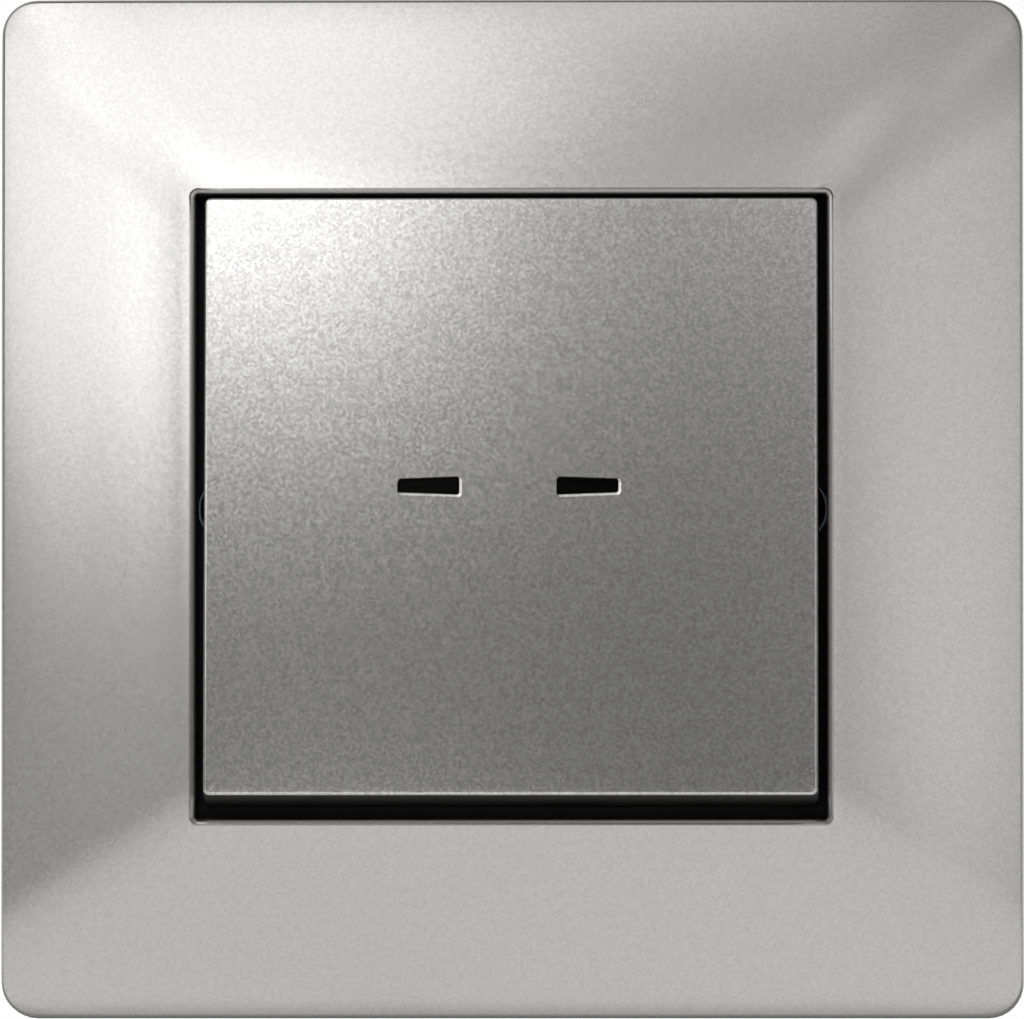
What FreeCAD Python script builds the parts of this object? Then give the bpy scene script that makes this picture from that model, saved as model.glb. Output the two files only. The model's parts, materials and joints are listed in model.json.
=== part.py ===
import FreeCAD, Part
import math
import os

# Flush-mounted push-button light switch: a cover frame, a tilting square key with two
# pilot windows, and the insert behind it that sits in a round wall box.
# Millimetres. X is right, Z is up and -Y is towards the room. The wall is the plane
# y = 0, and the origin is the middle of the frame on that plane. Y values below are
# negative in front of the wall and positive inside the wall box.

os.makedirs("parts", exist_ok=True)
V = FreeCAD.Vector

# Cover frame
frame_overhang = 5.5
frame_corner_radius = 2.8
frame_side_draft = 2.5
frame_edge_bevel = 0.4
frame_side_wall = 1.8
frame_skin = 2.0
window_size = 50.7
window_corner_radius = 0.6
window_height = 9.6
window_edge_bevel = 0.4
crown_start_angle = 8.0
crown_end_angle = 21.36
mitre_radius = 20.0
mitre_blank_margin = 7.0
mitre_hole_margin = 6.7
mitre_hole_cut = 4.0
collar_wall = 1.6
collar_gap = 0.3
rib_thickness = 1.0
rib_depth = 3.0
rib_offset = 21.0

# Key
key_side_gap = 0.7
key_end_gap = 1.2
key_height = 11.5
key_skirt_depth = 7.0
key_corner_radius = 0.5
key_edge_bevel = 0.25
key_face_wall = 1.6
key_skirt_wall = 1.4
key_side_draft = 1.0
key_end_draft = 3.0
key_rib_height = 1.2
key_rib_thickness = 1.0
key_rib_offset = 17.0
key_rib_margin = 1.0

# Tilt of the key
pivot_depth = 10.2
rest_tilt = 4.5
key_travel = 8.0

# Pilot windows and the light guide behind them
slit_inner = 3.75
slit_outer = 8.95
slit_inner_height = 1.46
slit_outer_height = 1.1
slit_corner_radius = 0.22
slit_rise = 0.85
slit_rim = 0.2
lens_recess = 0.5
lens_clearance = 0.04
lens_border = 1.3
lens_thickness = 1.2
guide_radius = 1.5
guide_length = 1.8

# Carriage that the key clips on
carriage_width = 29.6
carriage_length = 24.8
carriage_thickness = 1.8
carriage_corner_radius = 1.5
carriage_lamp_hole = 3.2
post_x = 11.0
post_z = 9.5
post_size = 3.6
post_length = 3.3
hook_thickness = 1.0
hook_width = 2.4
hook_length = 1.0
hook_barb = 0.5
hook_clearance = 0.05
arm_thickness = 1.6
arm_width = 5.2
arm_end_margin = 0.3
trunnion_radius = 1.5
trunnion_length = 2.0
running_clearance = 0.05
nose_radius = 1.6
spring_disc_thickness = 0.6
spring_disc_proud = 0.3
tip_length = 0.6
tip_flat = 0.2

# Steel support plate
plate_edge = 2.0
plate_corner_radius = 3.0
plate_thickness = 1.2
plate_opening_radius = 1.0
opening_clearance = 0.3
box_screw_spacing = 60.0
box_slot_length = 7.0
box_slot_width = 3.8
wall_screw_offset = 30.5
wall_screw_radius = 1.6

# Plastic carrier ring that the frame clips on
carrier_rim = 1.7
carrier_width = 10.0
carrier_corner_radius = 2.5
carrier_corner_cut = 10.0
carrier_thickness = 1.0
screw_notch_width = 9.0
screw_notch_inset = 4.4
pin_inset = 2.5
pin_width = 2.2
pin_clearance = 0.05
latch_z = 15.0
latch_width = 6.0
latch_offset = 2.65
latch_height = 3.0
latch_wall = 1.2
latch_barb = 0.5
latch_clearance = 0.1

# Insert housing
housing_corner_cut = 3.0
housing_wall = 1.4
housing_back_wall = 1.6
housing_depth = 22.0
flange_thickness = 2.2
cover_rise = 1.0
ear_thickness = 2.0
ear_rim = 1.4
ear_gap = 0.3
ear_shoulder = 0.2
arm_pocket_floor = 1.0
arm_pocket_margin = 0.8
rivet_end_margin = 3.8
rivet_opening_margin = 3.2
rivet_radius = 1.1
rivet_clearance = 0.1
rivet_head_radius = 2.0
rivet_head_height = 0.7

# Plunger and return spring
plunger_offset = 8.45
plunger_radius = 1.2
plunger_guide_clearance = 0.1
plunger_guide_length = 1.8
plunger_collar_radius = 2.0
plunger_collar_height = 0.8
plunger_tip = 6.6
plunger_gap = 0.2
plunger_proud = 1.8
plunger_collar_gap = 0.1
spring_coil_radius = 2.5
spring_wire_radius = 0.3
spring_turns = 3
spring_end_gap = 0.05
spring_pocket_radius = 3.1
spring_pocket_depth = 1.9
spring_pocket_wall = 1.45

# Switching contacts
lever_arm = 6.5
lever_reach = 12.5
lever_overhang = 1.3
lever_end_margin = 0.2
lever_corner_radius = 0.8
lever_thickness = 1.0
lever_width = 4.0
contact_radius = 1.3
contact_height = 0.9
contact_bevel = 0.3
fixed_contact_height = 0.8
closed_contact_gap = 0.05
knife_gap = 0.04
contact_spring_x = 1.8
contact_spring_coil = 1.4
contact_spring_wire = 0.2
contact_spring_turns = 3
contact_spring_seat = 13.2
contact_spring_gap = 0.05
contact_spring_boss_margin = 0.6

# Terminals
terminal_x = 11.2
terminal_room = 5.4
conductor_spacing = 8.8
conductor_radius = 1.6
bar_thickness = 0.8
bar_front_z = -10.8
bar_back_z = 7.4
bar_bend_y = 14.2
bar_side_gap = 0.7
bar_floor_gap = 0.1
clamp_thickness = 0.35
clamp_half_width = 6.4
clamp_wall_gap = 0.1
clamp_bar_gap = 0.1
clamp_bend_height = 5.8
clamp_peak_height = 7.0
clamp_tip_height = 2.6
clamp_peak_offset = 1.0
release_half_width = 2.0
release_inset = 0.6
release_width = 4.6
release_proud = 0.6
release_stop = 0.6
release_stop_thickness = 1.0
release_clearance = 0.15
release_spring_gap = 0.1
release_nose_width = 1.2
bar_rib_thickness = 1.0
bar_rib_gap = 0.1

# Pilot lamp
lamp_holder_width = 8.0
lamp_holder_length = 6.0
lamp_holder_clearance = 0.1
lamp_holder_flange = 0.8
lamp_holder_depth = 5.0
lamp_rise = 1.2
lamp_radius = 1.5
lamp_front_y = -5.4
lamp_tip_length = 1.4
lamp_tip_radius = 0.5
lamp_seat_depth = 1.0
lead_thickness = 0.5
lead_bend = 1.2
lead_gap = 0.05
lead_spread = 2.4

# Claws that spread in the wall box
claw_hinge_offset = 2.0
claw_hinge_radius = 1.0
claw_thickness = 1.2
claw_half_width = 5.5
claw_window_half_width = 2.0
claw_window_margin = 1.4
claw_tab_length = 6.6
claw_tab_bridge = 1.4
claw_foot_y = 18.6
claw_foot_length = 4.2
claw_tooth_depth = 0.9
claw_tooth_count = 5
claw_screw_offset = 2.5
claw_screw_radius = 1.5
claw_screw_length = 16.0
claw_screw_head_radius = 2.6
claw_screw_head_height = 1.3
claw_screw_slot = 0.8
claw_screw_clearance = 0.2
claw_screw_seat_gap = 0.05
bracket_clearance = 0.1
bracket_thickness = 1.6
bracket_rim = 1.2
bracket_gap = 0.3

# Allowances of the drawing itself: pieces that are fused overlap by weld, cutters run past a
# face by past, and two places nearer than same count as one
weld = 0.1
past = 1.0
same = 0.01

# Places and sizes that follow from the sizes above
plate_size = box_screw_spacing + box_slot_length + 2 * plate_edge
frame_size = plate_size + 2 * frame_overhang
crown_fall = math.radians((crown_start_angle + crown_end_angle) / 2)
frame_edge_height = window_height - (frame_size - window_size) / 2 * math.tan(crown_fall)
latch_x = window_size / 2 + collar_wall + latch_offset
carrier_size = 2 * (latch_x + latch_wall + carrier_rim)
carrier_inner_size = carrier_size - 2 * carrier_width
pin_offset = carrier_inner_size / 2 + pin_inset
screw_notch_start = box_screw_spacing / 2 - screw_notch_inset
plunger_z = -plunger_offset
plate_opening_length = 2 * (plunger_offset + spring_pocket_radius + spring_pocket_wall)
rivet_z = plate_opening_length / 2 + rivet_opening_margin
housing_length = 2 * (rivet_z + rivet_end_margin)
housing_width = 2 * (terminal_x + terminal_room + housing_wall)
claw_hinge_x = housing_width / 2 + claw_hinge_offset
claw_screw_x = claw_hinge_x + claw_screw_offset
claw_tab_end = claw_hinge_x + claw_tab_length
claw_foot_end = claw_hinge_x + claw_foot_length
release_inner_x = terminal_x - release_inset
claw_hinge_y = flange_thickness + bracket_rim + claw_hinge_radius + bracket_clearance
key_face_y = -key_height
key_back_y = key_face_y + key_skirt_depth
key_inner_y = key_face_y + key_face_wall
key_width = window_size - 2 * key_side_gap
key_length = window_size - 2 * key_end_gap
pivot_y = key_face_y + pivot_depth
plate_front_y = -plate_thickness
carrier_front_y = plate_front_y - carrier_thickness
carriage_front_y = key_inner_y + post_length
carriage_back_y = carriage_front_y + carriage_thickness
cover_front_y = -cover_rise
housing_back_y = housing_depth
housing_floor_y = housing_depth - housing_back_wall
clamp_bend_y = housing_floor_y - clamp_bend_height
clamp_peak_y = housing_floor_y - clamp_peak_height
clamp_tip_y = housing_floor_y - clamp_tip_height
spring_seat_y = cover_front_y + spring_pocket_depth
arm_outer_x = carriage_width / 2
ear_inner_x = arm_outer_x + ear_gap
raised_half_width = ear_inner_x + ear_thickness + ear_shoulder
plate_opening_width = 2 * (raised_half_width + opening_clearance)
lever_front_y = plunger_tip + plunger_gap
lever_back_y = lever_front_y + lever_thickness
plunger_stroke = -plunger_z * math.radians(key_travel)
lever_swing = math.asin(plunger_stroke / lever_arm)
lever_pivot_x = -lever_arm
contact_x = lever_pivot_x + lever_reach
terminal_wall_x = housing_width / 2 - housing_wall


def rest(shape):
    """Turn what was drawn with its face parallel to the wall into the key's rest tilt."""
    shape.rotate(V(0, pivot_y, 0), V(1, 0, 0), -rest_tilt)
    return shape


def save(shape, name):
    shape.exportStep("parts/" + name + ".step")


def box(x0, x1, y0, y1, z0, z1):
    return Part.makeBox(x1 - x0, y1 - y0, z1 - z0, V(x0, y0, z0))


def rod_y(x, z, y0, y1, radius):
    return Part.makeCylinder(radius, y1 - y0, V(x, y0, z), V(0, 1, 0))


def rod_x(y, z, x0, x1, radius):
    return Part.makeCylinder(radius, x1 - x0, V(x0, y, z), V(1, 0, 0))


def rod_z(x, y, z0, z1, radius):
    return Part.makeCylinder(radius, z1 - z0, V(x, y, z0), V(0, 0, 1))


def fused(shapes):
    return shapes[0].multiFuse(shapes[1:]).removeSplitter()


def mirrored(shape):
    """The same shape on the other side of the switch, left for right."""
    return shape.mirror(V(0, 0, 0), V(1, 0, 0))


def rectangle(width, length):
    x = width / 2
    z = length / 2
    return [(-x, -z), (x, -z), (x, z), (-x, z)]


def chamfered(width, length, cut):
    x = width / 2
    z = length / 2
    corners = [(x - cut, z), (x, z - cut), (x, cut - z), (x - cut, -z)]
    return corners + [(-a, -b) for a, b in corners]


def outline(points, y, radius=0.0):
    """A closed wire through (x, z) points at depth y, its corners rounded to one radius."""
    here = [V(x, y, z) for x, z in points]
    if radius == 0:
        return Part.makePolygon(here + here[:1])
    corners = []
    for before, corner, after in zip(here[-1:] + here[:-1], here, here[1:] + here[:1]):
        back = (before - corner).normalize()
        on = (after - corner).normalize()
        half = back.getAngle(on) / 2
        run = radius / math.tan(half)
        middle = corner + (back + on).normalize() * (radius / math.sin(half) - radius)
        corners.append((corner + back * run, middle, corner + on * run))
    edges = []
    for (start, middle, end), (following, _, _) in zip(corners, corners[1:] + corners[:1]):
        edges.append(Part.Arc(start, middle, end).toShape())
        edges.append(Part.LineSegment(end, following).toShape())
    return Part.Wire(edges)


def slab(points, y0, y1, radius=0.0):
    return Part.Face(outline(points, y0, radius)).extrude(V(0, y1 - y0, 0))


def tapered(width0, length0, y0, width1, length1, y1, radius):
    """A block whose four sides lean evenly from one end to the other, its corners rounded."""
    ends = sorted([(y0, width0 / 2, length0 / 2), (y1, width1 / 2, length1 / 2)])
    (low, x0, z0), (high, x1, z1) = ends
    block = Part.makeWedge(-x0, low, -z0, -z1, -x1, x0, high, z0, z1, x1)
    leaning = [e for e in block.Edges if abs(e.Vertexes[0].Y - e.Vertexes[-1].Y) > same]
    return block.makeFillet(radius, leaning)


def strip(points, thickness, z0, z1):
    """A bent sheet-metal strip of one thickness along (x, y) points, as wide as z0 to z1."""
    path = [V(x, y, z0) for x, y in points]
    edges = [Part.LineSegment(a, b).toShape() for a, b in zip(path, path[1:])]
    band = Part.Wire(edges).makeOffset2D(thickness / 2, 0, False, False)
    return Part.Face(band).extrude(V(0, 0, z1 - z0))


def coil(x, z, y0, y1, radius, wire_radius, turns):
    """A compression spring along Y with ends that are ground flat, its wire drawn four-sided."""
    length = y1 - y0
    pitch = length / turns
    helix = Part.makeHelix(pitch, length + pitch, radius)
    path = Part.Wire(helix.Edges)
    corners = [V(radius + wire_radius * math.cos(math.radians(90 * i)), 0,
                 wire_radius * math.sin(math.radians(90 * i))) for i in range(5)]
    spring = path.makePipeShell([Part.makePolygon(corners)], True, True)
    spring.translate(V(0, 0, -pitch / 2))
    ground = spring.common(Part.makeCylinder(radius + 2 * wire_radius, length))
    ground.rotate(V(0, 0, 0), V(1, 0, 0), -90)
    ground.translate(V(x, y0, z))
    return ground


# Cover frame

def crown_arc():
    """Radius and centre (distance from the middle, height) of the frame's convex front."""
    run = (frame_size - window_size) / 2
    bend = crown_fall - math.radians(crown_start_angle)
    radius = run / math.cos(crown_fall) / (2 * math.sin(bend))
    across = window_size / 2 - radius * math.sin(math.radians(crown_start_angle))
    height = window_height - radius * math.cos(math.radians(crown_start_angle))
    return radius, across, height


def arched_bar(inset, reach):
    """A block whose front is flat in the middle and falls away in an arc to both sides."""
    radius, across, height = crown_arc()
    top = height + radius - inset

    def front(u):
        return height + math.sqrt((radius - inset) ** 2 - (u - across) ** 2)

    def point(u, h):
        return V(u, -h, -reach)

    middle = (across + reach) / 2
    edges = [
        Part.LineSegment(point(-reach, 0), point(reach, 0)),
        Part.LineSegment(point(reach, 0), point(reach, front(reach))),
        Part.Arc(point(reach, front(reach)), point(middle, front(middle)), point(across, top)),
        Part.LineSegment(point(across, top), point(-across, top)),
        Part.Arc(point(-across, top), point(-middle, front(middle)), point(-reach, front(reach))),
        Part.LineSegment(point(-reach, front(reach)), point(-reach, 0)),
    ]
    return Part.Face(Part.Wire([e.toShape() for e in edges])).extrude(V(0, 0, 2 * reach))


def crowned_block(inset):
    """Two arched bars crossed, so that the front falls away to all four sides."""
    reach = frame_size / 2 + mitre_blank_margin
    upright = arched_bar(inset, reach)
    level = upright.copy()
    level.rotate(V(0, 0, 0), V(0, 1, 0), 90)
    return upright.common(level)


def soft_mitres(block):
    """Round the four diagonal creases of the crowned block, on a blank that ends square to them."""
    reach = frame_size / 2 + mitre_blank_margin
    deep = window_height * 2
    hole = window_size - mitre_hole_margin
    blank = block.common(slab(chamfered(2 * reach, 2 * reach, 2 * mitre_blank_margin), -deep, past))
    blank = blank.cut(slab(chamfered(hole, hole, mitre_hole_cut), -deep, past))
    creases = []
    for edge in blank.Edges:
        ends = [vertex.Point for vertex in edge.Vertexes]
        diagonal = all(abs(abs(p.x) - abs(p.z)) < same for p in ends)
        if diagonal and abs(abs(ends[0].x) - abs(ends[-1].x)) > past:
            creases.append(edge)
    return blank.makeFillet(mitre_radius, creases)


def rim_edges(shape, near):
    """Edges of the front surface whose ends and middle all pass the test near(point)."""
    found = []
    for edge in shape.Edges:
        middle = edge.valueAt((edge.FirstParameter + edge.LastParameter) / 2)
        points = [vertex.Point for vertex in edge.Vertexes] + [middle]
        if all(near(p) and p.y < -past for p in points) and abs(points[0].y - points[1].y) < 2:
            found.append(edge)
    return found


def cover_frame():
    deep = window_height * 2
    shrink = 2 * deep * math.tan(math.radians(frame_side_draft))
    walls = tapered(frame_size, frame_size, 0, frame_size - shrink, frame_size - shrink, -deep,
                    frame_corner_radius)
    body = soft_mitres(crowned_block(0)).common(walls)
    edge = frame_size / 2 - frame_edge_height * math.tan(math.radians(frame_side_draft))
    body = body.makeChamfer(frame_edge_bevel, rim_edges(
        body, lambda p: max(abs(p.x), abs(p.z)) > edge - frame_corner_radius / 3))
    body = body.cut(slab(rectangle(window_size, window_size), -deep, past, window_corner_radius))
    half = window_size / 2
    body = body.makeChamfer(window_edge_bevel, rim_edges(
        body, lambda p: max(abs(p.x), abs(p.z)) < half + same))

    inner = frame_size - 2 * frame_side_wall
    cavity = crowned_block(frame_skin).common(
        tapered(inner, inner, past, inner - shrink, inner - shrink, -deep, frame_corner_radius / 2))
    collar = window_size + 2 * collar_wall
    collar_wire = rectangle(collar, collar)
    cavity = cavity.cut(slab(collar_wire, -deep, past, window_corner_radius + collar_wall))
    body = body.cut(cavity)
    collar_back = carrier_front_y - collar_gap
    body = body.cut(slab(rectangle(collar + past, collar + past), collar_back, past))
    return fused([body] + frame_ribs(inner) + frame_latches())


def frame_ribs(inner):
    """Ribs between the collar and the outer wall, under the front skin."""
    start = window_size / 2 + collar_wall / 2
    end = inner / 2 + frame_side_wall / 4
    lowest = carrier_front_y - latch_height
    bars = []
    for place in (-rib_offset, 0, rib_offset):
        for turn in range(4):
            bar = box(start, end, lowest - rib_depth, lowest,
                      place - rib_thickness / 2, place + rib_thickness / 2)
            bar.rotate(V(0, 0, 0), V(0, 1, 0), 90 * turn)
            bars.append(bar)
    block = crowned_block(frame_skin / 2)
    return [bar.common(block) for bar in bars]


def frame_latches():
    """Four blades under the skin that snap outside the carrier's lugs."""
    inner_x = latch_x + latch_wall + latch_barb + latch_clearance
    foot_y = carrier_front_y - latch_clearance
    lip_y = carrier_front_y - latch_height + latch_barb + latch_clearance
    blades = []
    for side in (-1, 1):
        for z in (-latch_z, latch_z):
            points = [(inner_x, -window_height), (inner_x + latch_wall, -window_height),
                      (inner_x + latch_wall, foot_y),
                      (inner_x, foot_y), (inner_x - latch_barb, foot_y - latch_barb),
                      (inner_x - latch_barb, lip_y), (inner_x, lip_y)]
            corners = [V(x, y, z - latch_width / 2) for x, y in points]
            blade = Part.Face(Part.makePolygon(corners + corners[:1])).extrude(V(0, 0, latch_width))
            blades.append(blade if side > 0 else mirrored(blade))
    block = crowned_block(frame_skin / 2)
    return [blade.common(block) for blade in blades]


# Carrier ring and support plate

def frame_carrier():
    ring = slab(chamfered(carrier_size, carrier_size, carrier_corner_cut), carrier_front_y,
                plate_front_y, carrier_corner_radius)
    ring = ring.cut(slab(rectangle(carrier_inner_size, carrier_inner_size), carrier_front_y - past,
                         past, carrier_corner_radius))
    notch = box(screw_notch_start, carrier_size, carrier_front_y - past, past,
                -screw_notch_width / 2, screw_notch_width / 2)
    for turn in range(4):
        cutter = notch.copy()
        cutter.rotate(V(0, 0, 0), V(0, 1, 0), 90 * turn)
        ring = ring.cut(cutter)
    head = claw_screw_head_radius + claw_screw_clearance
    for side in (-1, 1):
        ring = ring.cut(rod_y(side * claw_screw_x, 0, carrier_front_y - past, past, head))
    return fused([ring] + corner_pins(pin_width, carrier_front_y, -pin_clearance) + carrier_lugs())


def corner_pins(width, y0, y1):
    """Four square pins near the ring's inner corners, or what cuts the holes for them."""
    pins = []
    for x in (-pin_offset, pin_offset):
        for z in (-pin_offset, pin_offset):
            pin = slab(rectangle(width, width), y0, y1)
            pin.translate(V(x, 0, z))
            pins.append(pin)
    return pins


def carrier_lugs():
    """Four upright lugs with a lip that the frame's blades catch behind."""
    top_y = carrier_front_y - latch_height
    outer_x = latch_x + latch_wall
    lugs = []
    for side in (-1, 1):
        for z in (-latch_z, latch_z):
            points = [(latch_x, carrier_front_y), (outer_x, carrier_front_y),
                      (outer_x, top_y + latch_barb), (outer_x + latch_barb, top_y + latch_barb),
                      (outer_x, top_y), (latch_x, top_y)]
            corners = [V(x, y, z - latch_width / 2) for x, y in points]
            lug = Part.Face(Part.makePolygon(corners + corners[:1])).extrude(V(0, 0, latch_width))
            lugs.append(lug if side > 0 else mirrored(lug))
    return lugs


def support_plate():
    plate = slab(rectangle(plate_size, plate_size), plate_front_y, 0, plate_corner_radius)
    plate = plate.cut(slab(rectangle(plate_opening_width, plate_opening_length),
                           plate_front_y - past, past, plate_opening_radius))
    slot_radius = box_slot_width / 2 - same / 100
    slot = slab(rectangle(box_slot_length, box_slot_width), plate_front_y - past, past, slot_radius)
    slot.translate(V(box_screw_spacing / 2, 0, 0))
    for turn in range(4):
        cutter = slot.copy()
        cutter.rotate(V(0, 0, 0), V(0, 1, 0), 90 * turn)
        plate = plate.cut(cutter)
    for hole in corner_pins(pin_width + 2 * pin_clearance, plate_front_y - past, past):
        plate = plate.cut(hole)
    holes = [(0, z, rivet_radius + rivet_clearance) for z in (-rivet_z, rivet_z)]
    holes += [(x, z, wall_screw_radius) for x in (-wall_screw_offset, wall_screw_offset)
              for z in (-wall_screw_offset, wall_screw_offset)]
    holes += [(x, 0, claw_screw_radius + claw_screw_clearance) for x in (-claw_screw_x, claw_screw_x)]
    for x, z, radius in holes:
        plate = plate.cut(rod_y(x, z, plate_front_y - past, past, radius))
    return plate


# Key, light guide and carriage, drawn level and then tilted

def slit_points(grow, side):
    inner = slit_inner - grow
    outer = slit_outer + grow
    high = slit_inner_height / 2 + grow
    low = slit_outer_height / 2 + grow
    points = [(side * inner, slit_rise + high), (side * inner, slit_rise - high),
              (side * outer, slit_rise - low), (side * outer, slit_rise + low)]
    return points


def rocker_key():
    side = 2 * key_skirt_depth * math.tan(math.radians(key_side_draft))
    end = 2 * key_skirt_depth * math.tan(math.radians(key_end_draft))
    cap = tapered(key_width, key_length, key_face_y, key_width + side, key_length + end, key_back_y,
                  key_corner_radius)
    front = [e for e in cap.Edges if all(v.Point.y < key_face_y + same for v in e.Vertexes)]
    cap = cap.makeChamfer(key_edge_bevel, front)
    wall = 2 * key_skirt_wall
    hollow = tapered(key_width - wall, key_length - wall, key_inner_y,
                     key_width - wall + side, key_length - wall + end, key_back_y + same,
                     key_corner_radius)
    cap = cap.cut(hollow)
    parts = [cap]
    rib_end = key_inner_y + key_rib_height
    for place in (-key_rib_offset, key_rib_offset):
        parts.append(box(place - key_rib_thickness / 2, place + key_rib_thickness / 2,
                         key_inner_y - weld, rib_end,
                         key_rib_margin - key_length / 2, key_length / 2 - key_rib_margin))
        parts.append(box(key_rib_margin - key_width / 2, key_width / 2 - key_rib_margin,
                         key_inner_y - weld, rib_end,
                         place - key_rib_thickness / 2, place + key_rib_thickness / 2))
    for side in (-1, 1):
        for z in (-post_z, post_z):
            parts += [p if side > 0 else mirrored(p) for p in clip_post(z)]
    cap = fused(parts)
    for side in (-1, 1):
        through = slab(slit_points(0, side), key_face_y - past, key_inner_y + past,
                       slit_corner_radius)
        rim = Part.makeLoft([
            outline(slit_points(slit_rim, side), key_face_y, slit_corner_radius + slit_rim),
            outline(slit_points(0, side), key_face_y + slit_rim, slit_corner_radius)], True, True)
        cap = cap.cut(through).cut(rim)
    return rest(cap)


def clip_post(z):
    """A square post that stands on the carriage, and a barbed blade that snaps through it."""
    half = post_size / 2
    post = box(post_x - half, post_x + half, key_inner_y - weld, carriage_front_y,
               z - half, z + half)
    inner = post_x - hook_thickness / 2
    outer = post_x + hook_thickness / 2
    lip_y = carriage_back_y + hook_clearance
    points = [(inner, carriage_front_y - weld), (outer, carriage_front_y - weld), (outer, lip_y),
              (outer + hook_barb, lip_y), (outer, lip_y + hook_length), (inner, lip_y + hook_length)]
    corners = [V(x, y, z - hook_width / 2) for x, y in points]
    blade = Part.Face(Part.makePolygon(corners + corners[:1])).extrude(V(0, 0, hook_width))
    return [post, blade]


def pilot_lens():
    back_y = key_inner_y + lens_thickness
    parts = [box(-slit_outer - lens_border, slit_outer + lens_border, key_inner_y, back_y,
                 slit_rise - slit_inner_height / 2 - lens_border,
                 slit_rise + slit_inner_height / 2 + lens_border)]
    for side in (-1, 1):
        parts.append(slab(slit_points(-lens_clearance, side), key_face_y + lens_recess,
                          key_inner_y + weld, slit_corner_radius - lens_clearance))
    parts.append(rod_y(0, slit_rise, back_y - weld, back_y + guide_length, guide_radius))
    return rest(fused(parts))


def rocker_carriage():
    plate = slab(rectangle(carriage_width, carriage_length), carriage_front_y, carriage_back_y,
                 carriage_corner_radius)
    plate = plate.cut(rod_y(0, slit_rise, carriage_front_y - past, carriage_back_y + past,
                            carriage_lamp_hole))
    for side in (-1, 1):
        for z in (-post_z, post_z):
            slot = box(post_x - hook_thickness / 2 - hook_clearance,
                       post_x + hook_thickness / 2 + hook_clearance,
                       carriage_front_y - past, carriage_back_y + past,
                       z - hook_width / 2 - hook_clearance, z + hook_width / 2 + hook_clearance)
            plate = plate.cut(slot if side > 0 else mirrored(slot))
    parts = [plate]
    for side in (-1, 1):
        arm = box(arm_outer_x - arm_thickness, arm_outer_x, carriage_back_y - weld, pivot_y,
                  -arm_width / 2, arm_width / 2)
        end = rod_x(pivot_y, 0, arm_outer_x - arm_thickness, arm_outer_x, arm_width / 2)
        end = end.cut(box(arm_outer_x - arm_thickness - past, arm_outer_x + past,
                          pivot_y + arm_end_depth(), pivot_y + arm_width, -arm_width, arm_width))
        pin = rod_x(pivot_y, 0, arm_outer_x - weld, arm_outer_x + trunnion_length, trunnion_radius)
        whole = fused([arm, end, pin])
        parts.append(whole if side > 0 else mirrored(whole))
    carriage = rest(fused(parts))
    nose_top = spring_top_y() - spring_disc_thickness
    nose = pointed_rod(nose_top, nose_tip_y(), nose_radius)
    seat = rod_y(0, plunger_z, nose_top, spring_top_y(), spring_coil_radius + spring_wire_radius)
    return fused([carriage, nose, seat])


def pointed_rod(y0, y1, radius):
    """A rod on the plunger's axis with a blunt conical tip at y1."""
    straight = rod_y(0, plunger_z, y0, y1 - tip_length, radius)
    cone = Part.makeCone(radius, radius * tip_flat, tip_length, V(0, y1 - tip_length, plunger_z),
                         V(0, 1, 0))
    return straight.fuse(cone)


def arm_end_depth():
    """How far the arm's round end reaches behind the pivot."""
    return trunnion_radius + arm_end_margin


def spring_top_y():
    """Where the return spring bears on the carriage at rest."""
    tilt = math.radians(rest_tilt)
    behind = carriage_back_y - pivot_y
    return pivot_y + behind * math.cos(tilt) + plunger_z * math.sin(tilt) + spring_disc_proud


def nose_tip_y():
    return plunger_front_y() - plunger_gap


def plunger_front_y():
    return cover_front_y - plunger_proud


# Housing cover with the key's bearings, and housing base

def housing_cover():
    flange = slab(chamfered(housing_width, housing_length, housing_corner_cut), 0, flange_thickness)
    raised = slab(rectangle(2 * raised_half_width,
                            plate_opening_length - 2 * opening_clearance),
                  cover_front_y, weld, plate_opening_radius)
    parts = [flange, raised]
    ear_half = trunnion_radius + running_clearance + ear_rim
    for side in (-1, 1):
        ear = box(ear_inner_x, ear_inner_x + ear_thickness, pivot_y, cover_front_y + weld,
                  -ear_half, ear_half)
        ear = ear.fuse(rod_x(pivot_y, 0, ear_inner_x, ear_inner_x + ear_thickness, ear_half))
        ear = ear.cut(box(ear_inner_x - past, ear_inner_x + ear_thickness + past, weld, housing_depth,
                          -ear_half - past, ear_half + past))
        parts.append(ear if side > 0 else mirrored(ear))
    guide_end = flange_thickness + plunger_guide_length
    parts.append(rod_y(0, plunger_z, flange_thickness - weld, guide_end,
                       plunger_collar_radius + housing_wall / 2))
    cover = fused(parts)
    bearing = trunnion_radius + running_clearance
    reach = ear_inner_x + ear_thickness + past
    cover = cover.cut(rod_x(pivot_y, 0, -reach, weld - ear_inner_x, bearing))
    cover = cover.cut(rod_x(pivot_y, 0, ear_inner_x - weld, reach, bearing))
    pocket_half = arm_width / 2 + arm_pocket_margin
    for side in (-1, 1):
        pocket = box(arm_outer_x - arm_thickness - ear_gap, ear_inner_x, cover_front_y - past,
                     flange_thickness - arm_pocket_floor, -pocket_half, pocket_half)
        cover = cover.cut(pocket if side > 0 else mirrored(pocket))
    cover = cover.cut(rod_y(0, plunger_z, cover_front_y - past, spring_seat_y, spring_pocket_radius))
    cover = cover.cut(rod_y(0, plunger_z, cover_front_y - past, guide_end + past,
                            plunger_radius + plunger_guide_clearance))
    w = lamp_holder_width / 2 + lamp_holder_clearance
    h = lamp_holder_length / 2 + lamp_holder_clearance
    cover = cover.cut(box(-w, w, cover_front_y - past, flange_thickness + past,
                          lamp_rise - h, lamp_rise + h))
    for z in (-rivet_z, rivet_z):
        cover = cover.cut(rod_y(0, z, -past, flange_thickness + past, rivet_radius + rivet_clearance))
    return cover


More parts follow.
